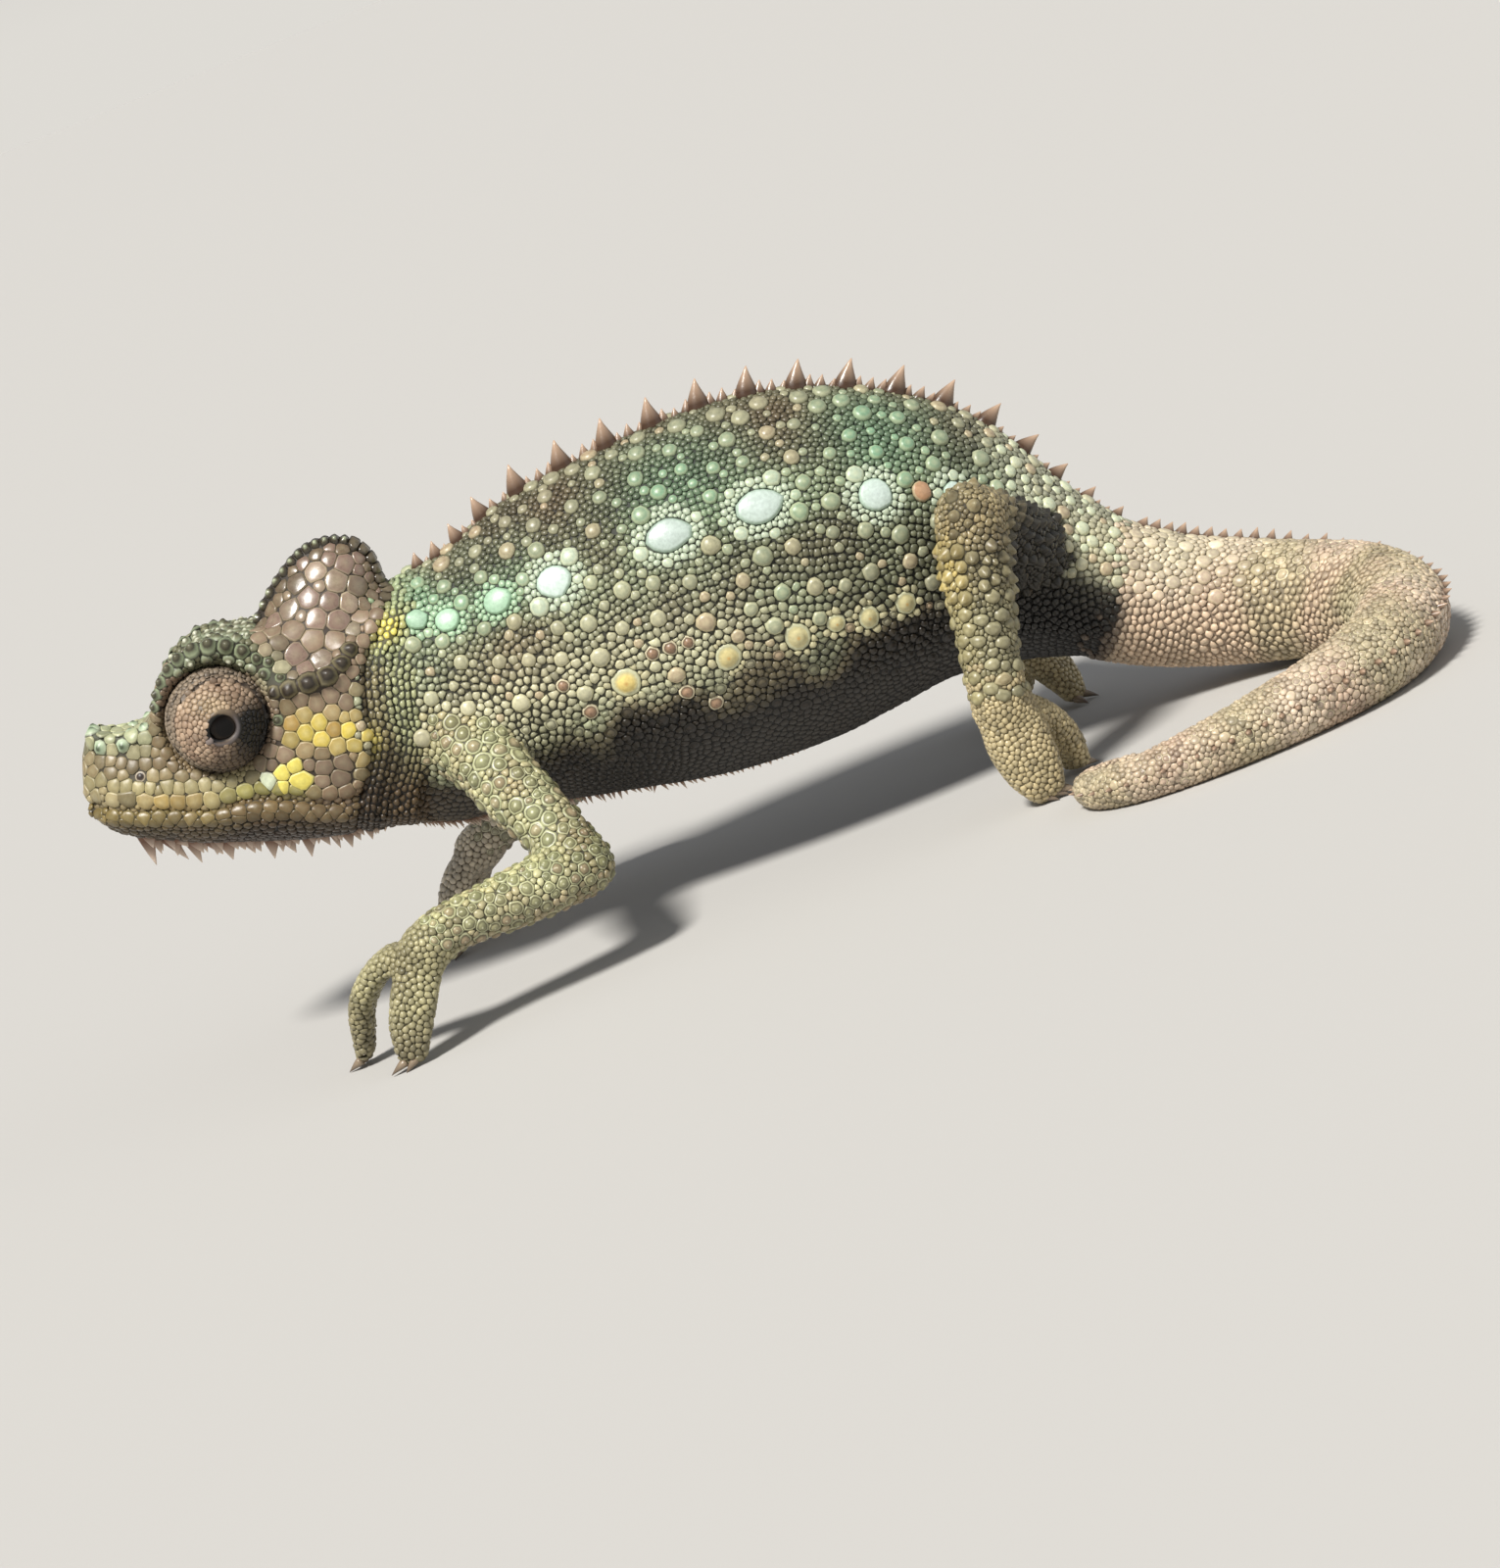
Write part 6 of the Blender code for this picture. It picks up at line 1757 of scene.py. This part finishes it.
def spine_row(name, roots, ups, backs, widths, depths, heights, finish, **inputs):
    """One piece of spines, from their roots, their ways up, the ways they lean and their sizes."""
    roots, ups, backs = np.array(roots), unit(ups), np.array(backs)
    lean = unit(backs - ups * (backs * ups).sum(1)[:, None])
    across = np.cross(ups, lean)
    turns = [Matrix(np.stack([a, b, c], 1).tolist()).to_euler() for a, b, c in zip(lean, across, ups)]
    mesh = bpy.data.meshes.new(name)
    mesh.from_pydata(to_metres(roots).tolist(), [], [])
    sizes = np.stack([np.broadcast_to(k, len(roots)) for k in (widths, depths, heights)], -1) * MM
    for title, values in (("turn", np.array(turns)), ("size", sizes)):
        mesh.attributes.new(title, "FLOAT_VECTOR", "POINT").data.foreach_set("vector",
                values.astype(float).ravel())
    holder = add_object(name, mesh)
    grow = holder.modifiers.new("spines", "NODES")
    grow.node_group = spine_tree(name, finish)
    sockets = {s.name: s.identifier for s in grow.node_group.interface.items_tree if s.in_out == "INPUT"}
    for title, value in inputs.items():
        grow[sockets[title.capitalize()]] = value
    result = bpy.data.meshes.new_from_object(holder.evaluated_get(bpy.context.evaluated_depsgraph_get()))
    holder.modifiers.remove(grow)
    holder.data = result
    result.polygons.foreach_set("use_smooth", np.full(len(result.polygons), True))
    print(name, len(roots), "spines,", len(result.polygons), "faces")
    return holder


# %% [markdown]
# ## Finishes
# Scales shine a little, like waxed leather. Fine noise on Object coordinates varies the roughness, the bump
# and the colour from the "tint" attribute, so that it holds from every side.


# %% Materials
def finish(name, rough, bump_size, bump_depth, tint=True, spots=0.12, coat=0.0, shine=0.5):
    """A skin material that takes its colour from the mesh."""
    made = bpy.data.materials.new(name)
    made.use_nodes = True
    tree = made.node_tree

    def add(kind, inputs=None, **settings):
        return add_node(tree, f"ShaderNode{kind}", inputs, **settings)

    place = add("TexCoord")["Object"]
    noise = add("TexNoise", {"Scale": bump_size, "Detail": 4.0, "Vector": place})["Fac"]
    spread = {"To Min": 1 - spots, "To Max": 1 + spots, "From Min": 0.3, "From Max": 0.7, "Value": noise}
    vary = add("MapRange", spread)["Result"]
    gloss = add("MapRange", {"To Min": rough - 0.08, "To Max": rough + 0.1, "Value": noise})["Result"]
    bump = add("Bump", {"Distance": bump_depth, "Strength": 0.6, "Height": noise})["Normal"]
    shader = tree.nodes["Principled BSDF"]
    if tint:
        source = add("Attribute", attribute_name="tint")["Color"]
        scaled = add("VectorMath", {0: source, "Scale": vary}, operation="SCALE")["Vector"]
        wire(tree, shader, {"Base Color": scaled})
    wire(tree, shader, {"Roughness": gloss, "Normal": bump, "Specular IOR Level": shine, "Coat Weight": coat,
                        "Coat Roughness": 0.2})
    return made


def ramp(tree, factor, *stops):
    """The colour output of a ramp from one place and colour to another."""
    made = tree.nodes.new("ShaderNodeValToRGB")
    for stop, (at, colour) in zip(made.color_ramp.elements, stops):
        stop.position, stop.color = at, (*colour, 1)
    wire(tree, made, {"Fac": factor})
    return made.outputs["Color"]


def horn(name, root, tip, rough):
    """Horn, from the colour of its root to that of its tip."""
    made = finish(name, rough, 3000.0, 0.00003, tint=False)
    tree = made.node_tree
    rise = add_node(tree, "ShaderNodeAttribute", attribute_name="rise")["Fac"]
    wire(tree, tree.nodes["Principled BSDF"], {"Base Color": ramp(tree, rise, (0.25, root), (0.95, tip))})
    return made


skin_finish = finish("skin_between_scales", 0.62, 2500.0, 0.00004)
scale_finish = finish("scales", 0.35, 5000.0, 0.00002)
plate_finish = finish("casque_plates", 0.28, 3500.0, 0.00002, coat=0.3)
head_finish = finish("head_plates", 0.4, 3500.0, 0.00002)
turret_finish = finish("lids", 0.5, 5000.0, 0.00002)
eye_finish = finish("eye", 0.12, 900.0, 0.000002, spots=0.3, coat=0.1, shine=0.15)
spine_finish = horn("dorsal_horn", paint(70, 50, 36), paint(190, 162, 138), 0.28)
gular_finish = horn("gular_horn", paint(122, 88, 68), paint(226, 206, 188), 0.45)
claw_finish = horn("claw_horn", paint(138, 122, 102), paint(92, 80, 70), 0.22)

# %% Dorsal crest
SPINE_FIRST, SPINE_SPACING, SPINE_HEIGHT, SPINE_RADIUS = 1.02, 3.1, 1.65, 0.8
ridge_stations = np.arange(SPINE_FIRST, 8.86, 0.005)
ridge = trunk_point(ridge_stations, 0.0)
travelled = np.concatenate([[0], np.cumsum(np.linalg.norm(np.diff(ridge, axis=0), axis=1))])
big, due = [], 0.0
for n, far in enumerate(travelled):
    if far >= due:
        rise = min(1.0, 0.45 + 0.07 * far)
        fall = min(1.0, 0.28 + 0.3 * (9 - ridge_stations[n]))
        big.append((n, SPINE_HEIGHT * rise * fall))
        due += SPINE_SPACING * min(1.0, 0.42 + 0.09 * far) * (0.45 + 0.55 * fall)
small = []
for (a, ha), (b, hb) in zip(big, big[1:]):
    count = max(1, int(round((travelled[b] - travelled[a]) / 0.85)) - 1)
    for k in range(1, count + 1):
        n = int(round(a + (b - a) * k / (count + 1)))
        small.append((n, min(ha, hb) * draw.uniform(0.22, 0.42)))
spines = big + small
index = np.array([n for n, _ in spines])
heights = np.array([h for _, h in spines])
ahead_way = unit(np.gradient(ridge, axis=0))[index]
ups = unit(np.cross(ahead_way, (0, 1, 0)))
ups[ups[:, 2] < 0] *= -1
widths = SPINE_RADIUS * (0.32 + 0.68 * heights / SPINE_HEIGHT)
crest = spine_row("dorsal_crest", ridge[index] - ups * 0.35, ups, ahead_way, widths * 1.05, widths * 0.8,
                  heights + 0.35, spine_finish, sides=12, segments=7, bend=0.35, swell=0.28)

# %% Gular crest and claws
GULAR_COUNT, GULAR_LENGTH, GULAR_RADIUS, GULAR_FIRST, GULAR_LAST = 12, 1.75, 0.8, 5.1, -8.9
gular_share = np.linspace(0, 1, GULAR_COUNT)
rows = [(0.0, 1.0, 0.0), (0.045, 0.55, 0.5), (0.045, 0.5, -0.5), (0.02, 0.3, 0.9), (0.02, 0.3, -0.9)]
forward, length, width, aside = [], [], [], []
for shift, size, side in rows:
    stray = draw.normal(0, 0.012 if side == 0 else 0.02, GULAR_COUNT) * (gular_share > 0.15)
    forward.append(GULAR_FIRST + (GULAR_LAST - GULAR_FIRST) * (gular_share + shift + stray))
    shrink = np.where(gular_share > 0.15, draw.uniform(0.55, 1.05, GULAR_COUNT), 1.0)
    length.append(GULAR_LENGTH * (1 - 0.5 * gular_share) * size * shrink)
    width.append(GULAR_RADIUS * (1 - 0.35 * gular_share) * (0.7 + 0.3 * size)
                 * draw.uniform(0.7, 1.05, GULAR_COUNT))
    aside.append(np.full(GULAR_COUNT, side))
forward, length, width, aside = (np.concatenate(k) for k in (forward, length, width, aside))
roots = head_point(forward, aside, keyed(CHIN, forward) + 0.42 + 0.2 * np.abs(aside))
down = np.array([head_way(lean, 0.0, -1) for lean in draw.normal(-0.2, 0.2, len(forward))])
down[:, 1] += aside * 0.25
behind = np.tile(head_way(-1, 0, 0), (len(forward), 1))
gular = spine_row("gular_crest", roots, down, behind, width, width * 0.42, length + 0.45, gular_finish,
                  sides=12, segments=6, bend=0.2, swell=0.1)

fringe_at = np.arange(0.3, 4.7, 0.055)
count, level = len(fringe_at), fringe_at * 0
roots = trunk_point(fringe_at, 1.0) + np.column_stack([level, draw.normal(0, 0.12, count), level + 0.3])
down = np.column_stack([draw.normal(0.25, 0.2, count), draw.normal(0, 0.2, count), level - 1])
high = 0.3 + draw.uniform(0.25, 0.6, count) * ease(4.9, 3.0, fringe_at)
fringe = spine_row("belly_fringe", roots, down, np.tile((1.0, 0, 0), (count, 1)), 0.17, 0.12, high,
                   gular_finish, sides=7, segments=3, bend=0.3, swell=0.2)

CLAW_LENGTH, CLAW_RADIUS = 1.15, 0.34
claw_ways = [unit(way * CLAW_LENGTH + np.array((0, 0, -0.42))) for _, way in claw_roots]
claw_backs = np.tile((0, 0, -1.0), (len(claw_ways), 1))
claws = spine_row("claws", [root for root, _ in claw_roots], claw_ways, claw_backs, CLAW_RADIUS * 0.9,
                  CLAW_RADIUS * 1.1, CLAW_LENGTH, claw_finish, sides=10, segments=7, bend=0.3, swell=0.3)

# %% Tail cones
cone_at = np.arange(1.2, 58, 1.0)
i = np.clip((cone_at / TAIL_STEP).round().astype(int), 0, len(TAIL_AT) - 1)
taper = 1 - cone_at / TAIL_TAPER
roots = TAIL_POINTS[i] + TAIL_BACKS[i] * (TAIL_RADII[i] - 0.35)[:, None]
high = (0.62 * taper + 0.12) * draw.uniform(0.75, 1.2, len(cone_at)) + 0.3
tail_crest = spine_row("tail_crest", roots, TAIL_BACKS[i] + TAIL_WAYS[i] * 0.15, TAIL_WAYS[i],
                       0.42 * taper + 0.1, 0.36 * taper + 0.08,
                       high, spine_finish, sides=10, segments=5, bend=0.3, swell=0.4)

# %% [markdown]
# ## Ride and what each piece replaces
# The skin stands for all the nodes of flesh, the turrets for the lids, and the eyeballs for the eyes.

# %% Hand over
flesh = [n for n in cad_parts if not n.startswith("eye")]
skin.data.materials.append(skin_finish)
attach(skin, "root")
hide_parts(*flesh)
for name, piece in coats.items():
    word = name.split("_")[1]
    piece.data.materials.append(dict(casque=plate_finish, head=head_finish, turret=turret_finish).get(word,
            scale_finish))
    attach(piece, "root")
for word in ("left", "right"):
    turrets[word].data.materials.append(turret_finish)
    eyes[word].data.materials.append(eye_finish)
    for piece, node, slot in ((turrets[word], f"eyelids_{word}", "turret"),
                              (eyes[word], f"eye_{word}", "eye")):
        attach(piece, "root")
        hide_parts(node)
for piece, slot in ((crest, "trunk"), (gular, "head"), (fringe, "trunk"), (claws, "leg"),
                    (tail_crest, "tail")):
    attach(piece, "root")

# %% [markdown]
# ## Floor and light
# A large soft light from the upper left, in front, gives the scales their gleam, and a weak one from the
# right and the pale surroundings fill the shadows.

# %% Studio
FLOOR_SIZE = 60.0
floor_mesh = bpy.data.meshes.new("floor")
half = FLOOR_SIZE / 2
floor_mesh.from_pydata([(-half, -half, 0), (half, -half, 0), (half, half, 0), (-half, half, 0)], [],
                       [(0, 1, 2, 3)])
floor = add_object("floor", floor_mesh)
floor_finish = bpy.data.materials.new("floor_paper")
floor_finish.use_nodes = True
paper = {"Base Color": (0.5, 0.49, 0.47, 1), "Roughness": 0.9}
wire(floor_finish.node_tree, floor_finish.node_tree.nodes["Principled BSDF"], paper)
floor_mesh.materials.append(floor_finish)


def sun(name, towards, strength, spread, colour):
    """A soft far light that comes from the given side."""
    data = bpy.data.lights.new(name, "SUN")
    data.energy, data.angle, data.color = strength, math.radians(spread), colour
    add_object(name, data).rotation_euler = Vector(towards).to_track_quat("Z", "Y").to_euler()


sun("key", (-0.3, -0.5, 0.82), 4.6, 12, (1.0, 0.97, 0.92))
sun("fill", (0.8, -0.3, 0.35), 0.35, 60, (0.92, 0.96, 1.0))
world = bpy.data.worlds.new("studio")
world.use_nodes = True
tree = world.node_tree
height = add_node(tree, "ShaderNodeSeparateXYZ", {0: add_node(tree, "ShaderNodeTexCoord")["Generated"]})["Z"]
backdrop = ramp(tree, height, (0.02, (0.733, 0.711, 0.667)), (0.35, (0.23, 0.24, 0.26)))
wire(tree, tree.nodes["Background"], {"Color": backdrop, "Strength": 1.0})
bpy.context.scene.world = world
bpy.context.scene.view_settings.view_transform = "Standard"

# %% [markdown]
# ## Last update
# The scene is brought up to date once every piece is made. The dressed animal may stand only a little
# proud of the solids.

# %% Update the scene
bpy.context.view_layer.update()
